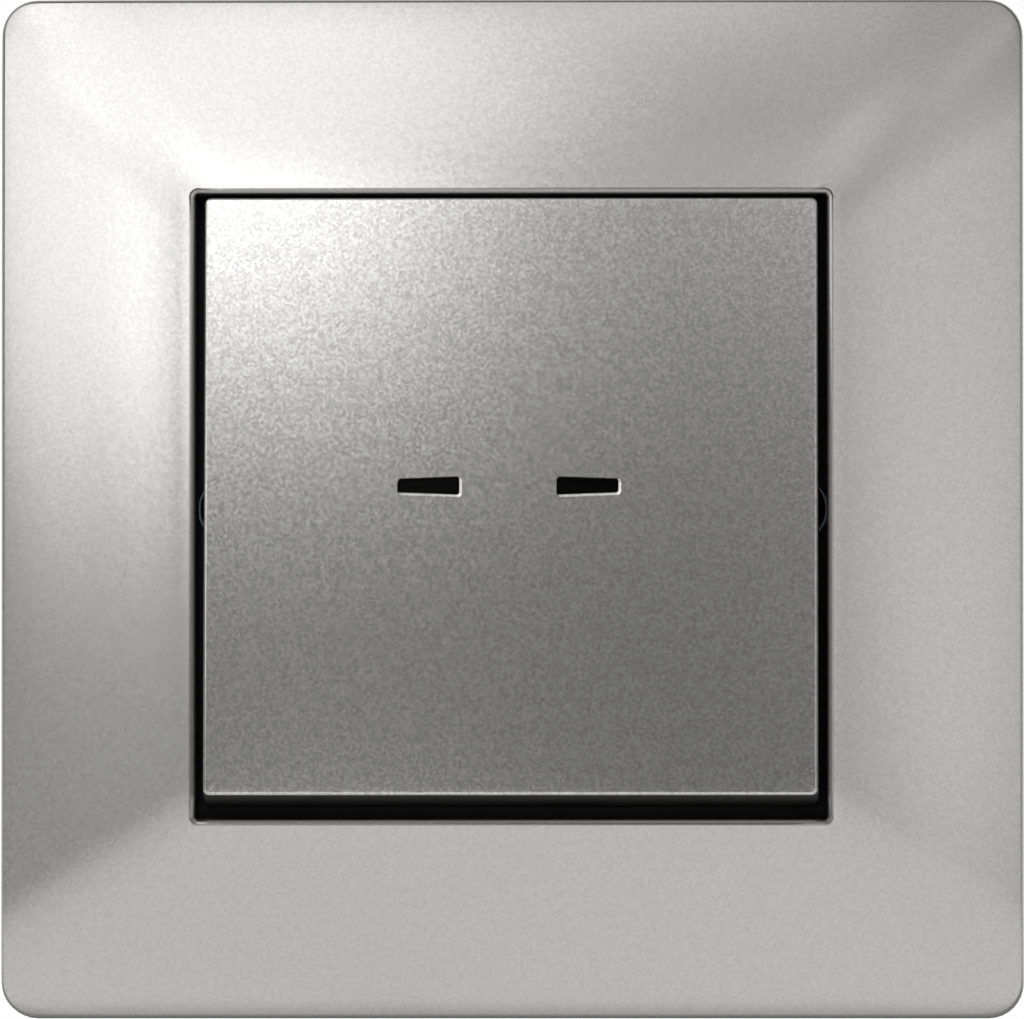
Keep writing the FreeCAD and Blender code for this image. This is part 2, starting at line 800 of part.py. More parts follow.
def housing_base():
    shell = slab(chamfered(housing_width, housing_length, housing_corner_cut), flange_thickness,
                 housing_back_y)
    inner_width = housing_width - 2 * housing_wall
    inner_length = housing_length - 2 * housing_wall
    shell = shell.cut(slab(chamfered(inner_width, inner_length, housing_corner_cut),
                           flange_thickness - past, housing_floor_y))
    parts = [shell]
    rib_x = contact_spring_coil + contact_spring_wire + contact_spring_boss_margin
    parts.append(box(contact_spring_x - rib_x, contact_spring_x + rib_x, contact_spring_seat,
                     housing_floor_y + weld, plunger_z - rib_x, plunger_z + rib_x))
    for side in (-1, 1):
        rib_end = bar_inner_x() - bar_thickness - bar_rib_gap
        rib = box(rib_end - bar_rib_thickness, rib_end, bar_bend_y + bar_thickness,
                  housing_floor_y + weld, bar_front_z, bar_back_z)
        parts.append(rib if side > 0 else mirrored(rib))
    parts += claw_brackets()
    base = fused(parts)
    for side in (-1, 1):
        for z in (-conductor_spacing / 2, conductor_spacing / 2):
            base = base.cut(rod_y(side * terminal_x, z, housing_floor_y - past, housing_back_y + past,
                                  conductor_radius))
        x0 = release_inner_x - release_clearance
        x1 = release_inner_x + release_width + release_clearance
        half = release_half_width + release_clearance
        window = box(x0, x1, housing_floor_y - past, housing_back_y + past, -half, half)
        base = base.cut(window if side > 0 else mirrored(window))
    return base


def claw_brackets():
    """Two pairs of bored ears on the housing's sides that hold the claws' rolled edges."""
    ears = []
    hole = claw_hinge_radius + bracket_clearance
    for side in (-1, 1):
        for end in (-1, 1):
            middle = end * (claw_half_width + bracket_gap + bracket_thickness / 2)
            z0 = middle - bracket_thickness / 2
            ear = box(housing_width / 2 - weld, claw_hinge_x, claw_hinge_y - hole - bracket_rim,
                      claw_hinge_y + hole + bracket_rim, z0, z0 + bracket_thickness)
            ear = ear.fuse(rod_z(claw_hinge_x, claw_hinge_y, z0, z0 + bracket_thickness,
                                 hole + bracket_rim))
            ear = ear.cut(rod_z(claw_hinge_x, claw_hinge_y, z0 - past, z0 + bracket_thickness + past,
                                hole))
            ears.append(ear if side > 0 else mirrored(ear))
    return ears


def housing_rivets():
    front = plate_front_y - rivet_head_height
    back = flange_thickness + rivet_head_height
    rivets = []
    for z in (-rivet_z, rivet_z):
        shank = rod_y(0, z, front, back, rivet_radius)
        head = rod_y(0, z, front, plate_front_y, rivet_head_radius)
        closed = rod_y(0, z, flange_thickness, back, rivet_head_radius)
        rivets.append(fused([shank, head, closed]))
    return Part.makeCompound(rivets)


# Plunger, springs and contacts

def contact_plunger():
    collar_y = flange_thickness + plunger_guide_length + plunger_collar_gap
    shank = pointed_rod(plunger_front_y(), plunger_tip, plunger_radius)
    collar = rod_y(0, plunger_z, collar_y, collar_y + plunger_collar_height, plunger_collar_radius)
    return fused([shank, collar])


def return_spring():
    return coil(0, plunger_z, spring_top_y() + spring_end_gap, spring_seat_y - spring_end_gap,
                spring_coil_radius, spring_wire_radius, spring_turns)


def contact_spring():
    return coil(contact_spring_x, plunger_z, lever_back_y + contact_spring_gap,
                contact_spring_seat - contact_spring_gap,
                contact_spring_coil, contact_spring_wire, contact_spring_turns)


def contact_lever():
    """A brass see-saw strip that rocks on the common terminal's edge."""
    x0 = lever_pivot_x - lever_overhang
    x1 = contact_x + contact_radius + lever_end_margin
    strip_body = box(x0, x1, lever_front_y, lever_back_y,
                     plunger_z - lever_width / 2, plunger_z + lever_width / 2)
    upright = [e for e in strip_body.Edges if abs(e.Vertexes[0].Y - e.Vertexes[-1].Y) > same]
    return strip_body.makeFillet(lever_corner_radius, upright)


def contact_button(x, y0, y1, bevelled_y):
    """A silver contact button, bevelled on the side that meets the other one."""
    button = rod_y(x, plunger_z, y0, y1, contact_radius)
    rims = [e for e in button.Edges if e.Closed and abs(e.Vertexes[0].Y - bevelled_y) < same]
    return button.makeChamfer(contact_bevel, rims)


def fixed_contact_y():
    """The fixed contact's face, just short of the moving one at the end of the key's travel."""
    across = lever_reach + contact_radius
    swung = across * math.sin(lever_swing) + contact_height * math.cos(lever_swing)
    return lever_back_y + swung + closed_contact_gap


def bar_inner_x():
    """The side of a terminal bar that the conductor is pressed on."""
    return terminal_x - conductor_radius + bar_side_gap


def common_bar():
    middle = bar_inner_x() - bar_thickness / 2
    knife_y = lever_back_y + knife_gap + bar_thickness / 2
    points = [(lever_pivot_x, knife_y), (lever_pivot_x, bar_bend_y), (-middle, bar_bend_y),
              (-middle, housing_floor_y - bar_floor_gap - bar_thickness / 2)]
    return strip(points, bar_thickness, bar_front_z, bar_back_z)


def switched_bar():
    middle = bar_inner_x() - bar_thickness / 2
    seat_y = fixed_contact_y() + fixed_contact_height + bar_thickness / 2
    points = [(contact_x - contact_radius, seat_y), (middle, seat_y),
              (middle, housing_floor_y - bar_floor_gap - bar_thickness / 2)]
    return strip(points, bar_thickness, bar_front_z, bar_back_z)


def clamp_places():
    """Where the clamp spring stands on the wall, has its peak and meets the bar, along X."""
    wall_x = terminal_wall_x - clamp_wall_gap - clamp_thickness / 2
    peak_x = (wall_x + terminal_x) / 2 + clamp_peak_offset
    tip_x = bar_inner_x() + clamp_bar_gap + clamp_thickness / 2
    return wall_x, peak_x, tip_x


def clamp_spring():
    """A bent leaf spring that presses two conductors on the terminal bar."""
    wall_x, peak_x, tip_x = clamp_places()
    points = [(wall_x, housing_floor_y - bar_floor_gap - clamp_thickness), (wall_x, clamp_bend_y),
              (peak_x, clamp_peak_y), (tip_x, clamp_tip_y)]
    return strip(points, clamp_thickness, -clamp_half_width, clamp_half_width)


def release_lever():
    """A push key between the two conductor entries that opens the clamp spring."""
    x0 = release_inner_x
    x1 = release_inner_x + release_width
    nose_x1 = terminal_x + 2 * release_nose_width
    nose_x0 = nose_x1 - release_nose_width
    stop_y = housing_floor_y - release_clearance
    stop_front_y = stop_y - release_stop_thickness
    outer = box(x0, x1, stop_front_y, housing_back_y + release_proud,
                -release_half_width, release_half_width)
    half = release_half_width + release_stop
    stop = box(x0, x1, stop_front_y, stop_y, -half, half)
    nose = box(nose_x0, nose_x1, release_nose_y(nose_x0), stop_y,
               -release_half_width, release_half_width)
    return fused([outer, stop, nose])


def release_nose_y(x):
    """Depth just behind the clamp spring's slanted leg at x."""
    _, peak_x, tip_x = clamp_places()
    slope = (clamp_tip_y - clamp_peak_y) / (peak_x - tip_x)
    across = clamp_thickness / 2 * math.hypot(1, slope)
    return clamp_peak_y + (peak_x - x) * slope + across + release_spring_gap


# Pilot lamp

def lamp_holder():
    w = lamp_holder_width / 2
    h = lamp_holder_length / 2
    body = box(-w, w, cover_front_y, lamp_holder_depth, lamp_rise - h, lamp_rise + h)
    rim = slab(rectangle(lamp_holder_width + 2 * lamp_holder_flange,
                         lamp_holder_length + 2 * lamp_holder_flange),
               cover_front_y - lamp_holder_flange, cover_front_y, lamp_holder_flange)
    rim.translate(V(0, 0, lamp_rise))
    holder = fused([body, rim])
    socket = rod_y(0, lamp_rise, cover_front_y - lamp_holder_flange - past,
                   cover_front_y + lamp_seat_depth, lamp_radius + lamp_holder_clearance)
    return holder.cut(socket)


def pilot_lamp():
    base_y = cover_front_y + lamp_seat_depth
    shoulder_y = lamp_front_y + lamp_tip_length
    bulb = rod_y(0, lamp_rise, shoulder_y, base_y, lamp_radius)
    tip = Part.makeCone(lamp_tip_radius, lamp_radius, lamp_tip_length,
                        V(0, lamp_front_y, lamp_rise), V(0, 1, 0))
    return fused([bulb, tip])


def lamp_leads():
    """Two stiff flat leads from the lamp holder to the two terminal bars."""
    top = lamp_holder_depth
    bend = top + lead_bend
    right_seat = fixed_contact_y() + fixed_contact_height
    half = lead_thickness / 2
    left = strip([(-lead_spread, top + half), (-lead_spread, bend), (lever_pivot_x, bend),
                  (lever_pivot_x, lever_back_y + knife_gap - half - lead_gap)],
                 lead_thickness, lamp_rise - half, lamp_rise + half)
    right = strip([(lead_spread, top + half), (lead_spread, bend), (contact_x, bend),
                   (contact_x, right_seat - half - lead_gap)],
                  lead_thickness, lamp_rise - half, lamp_rise + half)
    return Part.makeCompound([left, right])


# Claws and their screws

def claw():
    """A bent steel claw: rolled edge, slotted tab for the screw, leg and toothed foot."""
    half = claw_thickness / 2
    leg_x = claw_hinge_x
    leg = box(leg_x - half, leg_x + half, claw_hinge_y, claw_foot_y, -claw_half_width, claw_half_width)
    tab = box(leg_x, claw_tab_end, claw_hinge_y - half, claw_hinge_y + half,
              -claw_half_width, claw_half_width)
    foot = box(leg_x - half, claw_foot_end, claw_foot_y - claw_thickness, claw_foot_y,
               -claw_half_width, claw_half_width)
    pitch = 2 * claw_half_width / claw_tooth_count
    for i in range(claw_tooth_count + 1):
        z = -claw_half_width + i * pitch
        notch = [(claw_foot_end + weld, z - pitch / 2), (claw_foot_end + weld, z + pitch / 2),
                 (claw_foot_end - claw_tooth_depth, z)]
        foot = foot.cut(slab(notch, claw_foot_y - claw_thickness - past, claw_foot_y + past))
    knuckle_half = claw_half_width + bracket_gap + bracket_thickness
    knuckle = rod_z(leg_x, claw_hinge_y, -knuckle_half, knuckle_half, claw_hinge_radius)
    body = fused([leg, tab, foot, knuckle])
    window = box(leg_x - claw_hinge_radius - past, claw_tab_end - claw_tab_bridge,
                 claw_hinge_y - claw_hinge_radius - past,
                 claw_foot_y - claw_thickness - claw_window_margin,
                 -claw_window_half_width, claw_window_half_width)
    return body.cut(window)


def claw_screw():
    head_back = plate_front_y - claw_screw_seat_gap
    head_front = head_back - claw_screw_head_height
    head = rod_y(claw_screw_x, 0, head_front, head_back, claw_screw_head_radius)
    shank = rod_y(claw_screw_x, 0, head_front, head_front + claw_screw_length, claw_screw_radius)
    reach = claw_screw_head_radius + past
    slot = box(claw_screw_x - reach, claw_screw_x + reach,
               head_front - past, head_front + claw_screw_head_height / 2,
               -claw_screw_slot / 2, claw_screw_slot / 2)
    return fused([head, shank]).cut(slot)


save(cover_frame(), "cover_frame")
save(frame_carrier(), "frame_carrier")
save(support_plate(), "support_plate")
save(rocker_key(), "rocker_key")
save(pilot_lens(), "pilot_lens")
save(rocker_carriage(), "rocker_carriage")
save(housing_cover(), "housing_cover")
save(housing_base(), "housing_base")
save(housing_rivets(), "housing_rivets")
save(contact_plunger(), "contact_plunger")
save(return_spring(), "return_spring")
save(contact_spring(), "contact_spring")
save(contact_lever(), "contact_lever")
save(contact_button(contact_x, lever_back_y, lever_back_y + contact_height,
                    lever_back_y + contact_height), "moving_contact")
save(contact_button(contact_x, fixed_contact_y(), fixed_contact_y() + fixed_contact_height,
                    fixed_contact_y()), "fixed_contact")
save(common_bar(), "common_terminal_bar")
save(switched_bar(), "switched_terminal_bar")
save(lamp_holder(), "lamp_holder")
save(pilot_lamp(), "pilot_lamp")
save(lamp_leads(), "lamp_leads")
for side_name, placed in (("right", lambda s: s), ("left", mirrored)):
    save(placed(clamp_spring()), "clamp_spring_" + side_name)
    save(placed(release_lever()), "release_lever_" + side_name)
    save(placed(claw()), "claw_" + side_name)
    save(placed(claw_screw()), "claw_screw_" + side_name)
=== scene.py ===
import json
import math

import bmesh
import bpy
from mathutils import Matrix, Vector

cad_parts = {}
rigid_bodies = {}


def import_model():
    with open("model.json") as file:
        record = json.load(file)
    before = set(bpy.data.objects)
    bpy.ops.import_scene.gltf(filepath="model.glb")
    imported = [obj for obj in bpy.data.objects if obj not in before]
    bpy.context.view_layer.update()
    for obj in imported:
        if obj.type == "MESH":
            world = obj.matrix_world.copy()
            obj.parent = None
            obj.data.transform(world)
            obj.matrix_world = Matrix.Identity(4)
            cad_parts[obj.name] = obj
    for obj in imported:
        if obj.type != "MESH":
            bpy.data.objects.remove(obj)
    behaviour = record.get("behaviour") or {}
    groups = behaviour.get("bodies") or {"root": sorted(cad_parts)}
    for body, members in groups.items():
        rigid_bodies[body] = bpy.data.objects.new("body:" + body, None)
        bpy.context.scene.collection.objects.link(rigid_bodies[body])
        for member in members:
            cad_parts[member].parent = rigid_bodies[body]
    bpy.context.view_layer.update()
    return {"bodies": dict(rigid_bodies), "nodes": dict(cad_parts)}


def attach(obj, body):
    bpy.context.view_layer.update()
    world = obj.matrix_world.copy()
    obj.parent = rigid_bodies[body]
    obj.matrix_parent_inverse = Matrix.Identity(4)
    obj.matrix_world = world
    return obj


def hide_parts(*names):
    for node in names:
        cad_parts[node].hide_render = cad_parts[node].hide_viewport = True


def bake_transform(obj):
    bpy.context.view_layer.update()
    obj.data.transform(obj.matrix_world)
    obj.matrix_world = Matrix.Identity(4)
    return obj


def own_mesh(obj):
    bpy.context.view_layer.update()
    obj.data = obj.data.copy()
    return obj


# Push button light switch in silver lacquer: a cover frame with a crowned front, a tilted square
# key with two pilot slits, and the insert behind it with its plate, housing, claws and springs.
# Metres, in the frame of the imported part: X right, Z up, -Y to the room, wall plane y = 0.

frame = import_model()
nodes = frame["nodes"]
MM = 0.001

# Sizes of the pieces that are modelled here, in millimetres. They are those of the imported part, or
# a few tenths apart from them where the photo's edges call for it.

FRAME_HALF = 41.0
# The frame's height as a share of its width
FRAME_HEIGHT_SHARE = 0.9966
FRAME_CORNER = 2.8
FRAME_DRAFT = math.radians(1.0)
FRAME_SIDE_WALL = 1.8
FRAME_SKIN = 2.0
FRAME_EDGE_HEIGHT = 5.5
FRAME_EDGE_RADIUS = 0.28
WINDOW_HALF = 25.2
# The window's height as a share of its width
WINDOW_HEIGHT_SHARE = 0.9897
WINDOW_CORNER = 0.2
WINDOW_HEIGHT = 9.6
WINDOW_ROUNDING = 0.55
COLLAR_WALL = 1.6
COLLAR_BACK = -2.5
CROWN_START = math.radians(8.0)
CROWN_END = math.radians(21.36)
# The creases between the crown's arcs are rounded, from just outside the arcs' start
MITRE_RADIUS = 32.0
MITRE_START = 0.1
FRAME_RIB_THICKNESS = 1.0
FRAME_RIB_PLACES = (-21.0, 0.0, 21.0)
FRAME_RIB_SPAN = (26.15, 39.0)
FRAME_RIB_BACK = -5.2
FRAME_RIB_DEPTH = 3.0
LATCH_PLACES = (-15.0, 15.0)
LATCH_WIDTH = 6.0
LATCH_INNER = 31.4
LATCH_WALL = 1.2
LATCH_FOOT = -2.3
LATCH_BARB = 0.5
LATCH_LIP = -4.6

KEY_HALF_WIDTH = 24.47
KEY_HALF_LENGTH = 23.95
KEY_FACE = -11.5
KEY_BACK = -4.5
KEY_INNER = -9.9
KEY_CORNER = 0.5
KEY_EDGE = 0.24
KEY_FACE_BORDER = 0.8
KEY_SKIRT_WALL = 1.4
KEY_SIDE_DRAFT = math.radians(1.0)
KEY_END_DRAFT = math.radians(3.0)
KEY_TILT = math.radians(4.5)
KEY_RIB_PLACES = (-17.0, 17.0)
KEY_RIB_HEIGHT = 1.2
KEY_RIB_THICKNESS = 1.0
KEY_RIB_MARGIN = 1.0
PIVOT_DEPTH = -1.3
SLIT_INNER = 3.88
SLIT_OUTER = 8.82
SLIT_SHIFT = -0.21
SLIT_INNER_HALF = 0.73
SLIT_OUTER_HALF = 0.55
SLIT_RISE = 0.81
SLIT_CORNER = 0.22
# The slits' sunk rim is wide to the right and below, and thin to the left and above
SLIT_RIM = 0.2
SLIT_THIN_RIM = 0.02
SLIT_RIM_DEPTH = 0.09
POST_X = 11.0
POST_Z = 9.5
POST_SIZE = 3.6
POST_END = -6.6
HOOK_THICKNESS = 1.0
HOOK_WIDTH = 2.4
HOOK_BARB = 0.5
HOOK_LIP = -4.75
HOOK_END = -3.75

# How finely the curved pieces are divided, and how their meshes are joined

CORNER_STEPS = 8
SIDE_CUTS = 79
CROWN_ROWS = 19
EDGE_STEPS = 6
# Two rings to be bridged lie this far apart in depth, which tells bridge_loops how they face
RING_STEP = 0.003
# Points closer than this are one, in a new mesh and in a packed one
MERGE_DISTANCE = 1e-5
PACKED_MERGE_DISTANCE = 1e-3
# Sizes that differ by less than this are the same
HAIR = 1e-3
# How far a piece reaches into the one it stands on
OVERLAP = 0.1
# Edges sharper than this many degrees stay sharp, on most pieces, packed ones and the key
SHARP = 40.0
PACKED_SHARP = 30.0
KEY_SHARP = 18.0


# Materials

def linear(hex_colour):
    """An sRGB hex colour as linear red, green, blue and full opacity."""
    values = [int(hex_colour[i:i + 2], 16) / 255 for i in (1, 3, 5)]
    parts = tuple(v / 12.92 if v <= 0.04045 else ((v + 0.055) / 1.055) ** 2.4 for v in values)
    return parts + (1.0,)


def add(tree, kind, inputs, **settings):
    """Add a node with its settings, and set or link each named input."""
    made = tree.nodes.new(kind)
    for name, value in settings.items():
        setattr(made, name, value)
    for name, value in inputs.items():
        if isinstance(value, bpy.types.NodeSocket):
            tree.links.new(value, made.inputs[name])
        else:
            made.inputs[name].default_value = value
    return made


def material(name, **sockets):
    """A material whose shader takes these values or links from the tree it returns."""
    made = bpy.data.materials.new(name)
    made.use_nodes = True
    tree = made.node_tree
    shader = tree.nodes["Principled BSDF"]
    for socket, value in sockets.items():
        shader.inputs[socket.replace("_", " ")].default_value = value
    place = tree.nodes.new("ShaderNodeTexCoord").outputs["Object"]
    return made, tree, shader, place


def per_metre(size_mm):
    """The texture scale at which one cell of the pattern is this many millimetres wide."""
    return 1 / (size_mm * MM)


def between(tree, share, light, dark):
    """A colour between the dark and the light one, by this share."""
    tone = add(tree, "ShaderNodeMix", {"Factor": share, "A": linear(dark), "B": linear(light)},
               data_type="RGBA")
    return tone.outputs["Result"]


def cloudy(tree, place, cloud_mm, light, dark, detail=2.0):
    """A colour that drifts between the light and the dark one in soft clouds of this width."""
    cloud = add(tree, "ShaderNodeTexNoise",
                {"Vector": place, "Scale": per_metre(cloud_mm), "Detail": detail})
    return between(tree, cloud.outputs["Fac"], light, dark)


FLAKE_MM = 0.2
FLAKE_LEAN = 0.016


def silver_lacquer(name, light, dark):
    """Silver lacquer sprayed on moulded ABS: aluminium flakes under a satin clear coat.

    The flakes lie nearly flat, each a little lighter or darker and turned its own way, so that
    the surface looks finely grained. Like all such lacquer it darkens towards grazing angles.
    Real flakes are 0.02 mm wide, and are drawn 0.2 mm wide so that they show.
    """
    made, tree, shader, place = material(name, Metallic=0.96, Roughness=0.27,
                                         Specular_Tint=linear("#8c8c8c"))
    flakes = add(tree, "ShaderNodeTexVoronoi", {"Vector": place, "Scale": per_metre(FLAKE_MM)})
    turned = add(tree, "ShaderNodeVectorMath", {0: flakes.outputs["Color"], 1: (0.5, 0.5, 0.5)},
                 operation="SUBTRACT")
    slight = add(tree, "ShaderNodeVectorMath", {0: turned.outputs[0], "Scale": FLAKE_LEAN},
                 operation="SCALE")
    upright = tree.nodes.new("ShaderNodeNewGeometry").outputs["Normal"]
    leaning = add(tree, "ShaderNodeVectorMath", {0: upright, 1: slight.outputs[0]}, operation="ADD")
    even = add(tree, "ShaderNodeVectorMath", {0: leaning.outputs[0]}, operation="NORMALIZE")
    tree.links.new(even.outputs[0], shader.inputs["Normal"])
    glint = add(tree, "ShaderNodeSeparateColor", {"Color": flakes.outputs["Color"]})
    tree.links.new(between(tree, glint.outputs["Green"], light, dark),
                   shader.inputs["Base Color"])
    return made


def moulded_plastic(name, light, dark, roughness, grain_mm=0.25, grain_depth_mm=0.004, ior=1.5):
    """Injection-moulded plastic from a spark-eroded tool: even colour and a fine matt grain."""
    made, tree, shader, place = material(name, Roughness=roughness, IOR=ior)
    tree.links.new(cloudy(tree, place, 4.0, light, dark, 4.0), shader.inputs["Base Color"])
    grain = add(tree, "ShaderNodeTexNoise", {"Vector": place, "Scale": per_metre(grain_mm),
                                             "Detail": 2.0, "Roughness": 0.6})
    bump = add(tree, "ShaderNodeBump", {"Height": grain.outputs["Fac"], "Strength": 0.6,
                                        "Distance": grain_depth_mm * MM})
    tree.links.new(bump.outputs["Normal"], shader.inputs["Normal"])
    return made


def rolled_metal(name, light, dark, roughness, line_mm=0.12, stretch=(1.0, 1.0, 0.06),
                 edge="#ffffff"):
    """Rolled or drawn metal: fine lines along one direction and a slightly uneven sheen."""
    made, tree, shader, place = material(name, Metallic=1.0, Specular_Tint=linear(edge))
    along = add(tree, "ShaderNodeMapping", {"Vector": place, "Scale": stretch})
    lines = add(tree, "ShaderNodeTexNoise", {"Vector": along.outputs["Vector"],
                                             "Scale": per_metre(line_mm), "Detail": 2.0})
    sheen = add(tree, "ShaderNodeMapRange", {"Value": lines.outputs["Fac"],
                                             "To Min": roughness * 0.8, "To Max": roughness * 1.2})
    tree.links.new(sheen.outputs["Result"], shader.inputs["Roughness"])
    tree.links.new(cloudy(tree, place, 3.0, light, dark, 4.0), shader.inputs["Base Color"])
    bump = add(tree, "ShaderNodeBump", {"Height": lines.outputs["Fac"], "Strength": 0.3,
                                        "Distance": 0.004 * MM})
    tree.links.new(bump.outputs["Normal"], shader.inputs["Normal"])
    return made


def smoked_lens():
    """Smoked polycarbonate light guide: clear but so dark that it looks black when unlit."""
    made, tree, shader, place = material("smoked_lens", Roughness=0.18, IOR=1.58,
                                         Specular_IOR_Level=0.2)
    tree.links.new(cloudy(tree, place, 2.0, "#040403", "#020202"), shader.inputs["Base Color"])
    return made


def lamp_glass():
    """Soda-lime glass of the pilot lamp: clear, smooth and slightly grey."""
    made, tree, shader, place = material("lamp_glass", Roughness=0.04, IOR=1.52,
                                         Transmission_Weight=0.9)
    tree.links.new(cloudy(tree, place, 1.5, "#f2f4f2", "#dfe3e0"), shader.inputs["Base Color"])
    return made


# Silver lacquer on the frame's front, satin and evenly bright
LACQUER = silver_lacquer("silver_lacquer", "#d3d2d0", "#cac9c7")
# The same lacquer on the key, its flakes drawn lighter and darker than on the frame: painted glint,
# where the light falls flat and shows the grain
KEY_LACQUER_WITH_PAINTED_GLINT = silver_lacquer("silver_lacquer_with_painted_glint", "#dbdad8", "#bfbebc")
# The same lacquer a shade darker on the window's edge and the collar: painted shade for the dim edge
WINDOW_EDGE_PAINTED_SHADE = silver_lacquer("silver_lacquer_painted_shade", "#abaaa8", "#a3a2a0")
# Black polyamide ring, matt with a fine grain; its black is partly its own colour and partly painted
# shade for the deep gap around the key
BLACK_NYLON_PAINTED_SHADE = moulded_plastic("black_polyamide_painted_shade", "#101011", "#0b0b0c", 0.55)
# Mid-grey acetal of the sliding and tilting pieces, waxy and slightly shiny
GREY_ACETAL = moulded_plastic("grey_acetal", "#8f9296", "#85888c", 0.36, grain_depth_mm=0.002)
# Bare grey ABS where the lacquer doesn't reach, inside the frame
BARE_ABS = moulded_plastic("bare_grey_abs", "#a9abab", "#9fa1a1", 0.48)
# Grey polycarbonate of the insert's front half
GREY_COVER = moulded_plastic("grey_polycarbonate", "#b3b6b9", "#a8abae", 0.42)
# White urea moulding of the insert's back half, hard and a little cloudy
WHITE_UREA = moulded_plastic("white_urea", "#e6e5df", "#dcdbd4", 0.38, ior=1.55)
# Off-white heat-proof polyamide of the lamp holder
WHITE_NYLON = moulded_plastic("white_polyamide", "#e2ddd0", "#d8d3c5", 0.45)
# Orange polybutylene of the release keys, so that they are found at once
ORANGE_POLYESTER = moulded_plastic("orange_polyester", "#e2712a", "#d56722", 0.4)
# Pressed mild steel, zinc-plated: bluish grey with a soft sheen and faint rolling lines
ZINC_STEEL = rolled_metal("zinc_plated_steel", "#c3c7cc", "#acb1b8", 0.34, stretch=(0.05, 1.0, 1.0))
# Blackened steel of the claw screws, dull and dark: partly their own finish and partly painted
# shade, so that they stay as dark as the gap they lie behind
BLACK_STEEL_PAINTED_SHADE = rolled_metal("blackened_steel_painted_shade", "#101011", "#0b0b0c", 0.6, edge="#2a2a2a")
# Drawn stainless spring wire and strip, bright
SPRING_STEEL = rolled_metal("spring_steel", "#b9b7b3", "#a3a19d", 0.22)
# Rolled brass strip, warm yellow and slightly dulled by handling
BRASS = rolled_metal("rolled_brass", "#d8b568", "#c39f55", 0.28)
# Tinned copper leads, pale grey and soft
TINNED_COPPER = rolled_metal("tinned_copper", "#d2d2cf", "#bdbdb9", 0.3)
# Fine silver contact buttons, nearly white
SILVER = rolled_metal("contact_silver", "#e6e3dc", "#d5d2ca", 0.2)
LENS = smoked_lens()
GLASS = lamp_glass()

FINISHES = {
    "pilot_lens": LENS,
    "frame_carrier": BLACK_NYLON_PAINTED_SHADE,
    "rocker_carriage": GREY_ACETAL,
    "contact_plunger": GREY_ACETAL,
    "housing_cover": GREY_COVER,
    "housing_base": WHITE_UREA,
    "lamp_holder": WHITE_NYLON,
    "release_lever_left": ORANGE_POLYESTER,
    "release_lever_right": ORANGE_POLYESTER,
    "support_plate": ZINC_STEEL,
    "claw_left": ZINC_STEEL,
    "claw_right": ZINC_STEEL,
    "claw_screw_left": BLACK_STEEL_PAINTED_SHADE,
    "claw_screw_right": BLACK_STEEL_PAINTED_SHADE,
    "return_spring": SPRING_STEEL,
    "contact_spring": SPRING_STEEL,
    "clamp_spring_left": SPRING_STEEL,
    "clamp_spring_right": SPRING_STEEL,
    "housing_rivets": BRASS,
    "contact_lever": BRASS,
    "common_terminal_bar": BRASS,
    "switched_terminal_bar": BRASS,
    "lamp_leads": TINNED_COPPER,
    "moving_contact": SILVER,
    "fixed_contact": SILVER,
    "pilot_lamp": GLASS,
}
for node_name, finish in FINISHES.items():
    nodes[node_name].data.materials.clear()
    nodes[node_name].data.materials.append(finish)


# Mesh tools

def finished(bm, name, body, surface, sharp=SHARP, eased=0.0):
    """Close the mesh's work, scale it from millimetres and let it ride on its body, if any."""
    bmesh.ops.remove_doubles(bm, verts=bm.verts, dist=MERGE_DISTANCE)
    bmesh.ops.recalc_face_normals(bm, faces=bm.faces)
    bmesh.ops.scale(bm, vec=(MM, MM, MM), verts=bm.verts)
    mesh = bpy.data.meshes.new(name)
    bm.to_mesh(mesh)
    bm.free()
    mesh.materials.append(surface)
    mesh.shade_smooth()
    mesh.set_sharp_from_angle(angle=math.radians(sharp))
    piece = bpy.data.objects.new(name, mesh)
    bpy.context.scene.collection.objects.link(piece)
    if eased:
        bevel = piece.modifiers.new("eased edges", "BEVEL")
        bevel.width = eased * MM
        bevel.segments = 2
        bevel.limit_method = "ANGLE"
        bevel.angle_limit = math.radians(sharp)
        bevel.use_clamp_overlap = False
    weighted = piece.modifiers.new("even shading", "WEIGHTED_NORMAL")
    weighted.keep_sharp = True
    if body:
        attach(piece, body)
    return piece


def rounded_ring(bm, half_x, half_z, radius, y, cuts=0):
    """The edges of a rounded rectangle at depth y. Its straight sides get this many cuts."""
    place = Matrix.Translation((0, y, 0)) @ Matrix.Diagonal((half_x, 1, half_z, 1))
    made = bmesh.ops.create_grid(bm, x_segments=1, y_segments=1, size=1.0,
                                 matrix=place @ Matrix.Rotation(math.radians(90), 4, "X"))
    return round_corners(bm, made["verts"], radius, cuts)


def round_corners(bm, corners, radius, cuts=0):
    """Round a flat face's corners, cut its long sides, and leave only its edges."""
    others = set(bm.faces) - set(corners[0].link_faces)
    bmesh.ops.bevel(bm, geom=corners, offset=radius, segments=CORNER_STEPS, profile=0.5,
                    affect="VERTICES", material=-1)
    if cuts:
        face = next(f for f in bm.faces if f not in others)
        sides = sorted(face.edges, key=lambda e: e.calc_length())[-4:]
        bmesh.ops.subdivide_edges(bm, edges=sides, cuts=cuts)
    face = next(f for f in bm.faces if f not in others)
    edges = list(face.edges)
    bmesh.ops.delete(bm, geom=[face], context="FACES_ONLY")
    return edges


def bridge_in_turn(bm, rings):
    """Join each ring of edges to the next one with a band of faces."""
    for first, second in zip(rings, rings[1:]):
        bmesh.ops.bridge_loops(bm, edges=first + second)


def soften(bm, edges, width, steps=EDGE_STEPS):
    bmesh.ops.bevel(bm, geom=edges, offset=width, offset_type="OFFSET", segments=steps,
                    profile=0.5, affect="EDGES", material=-1)


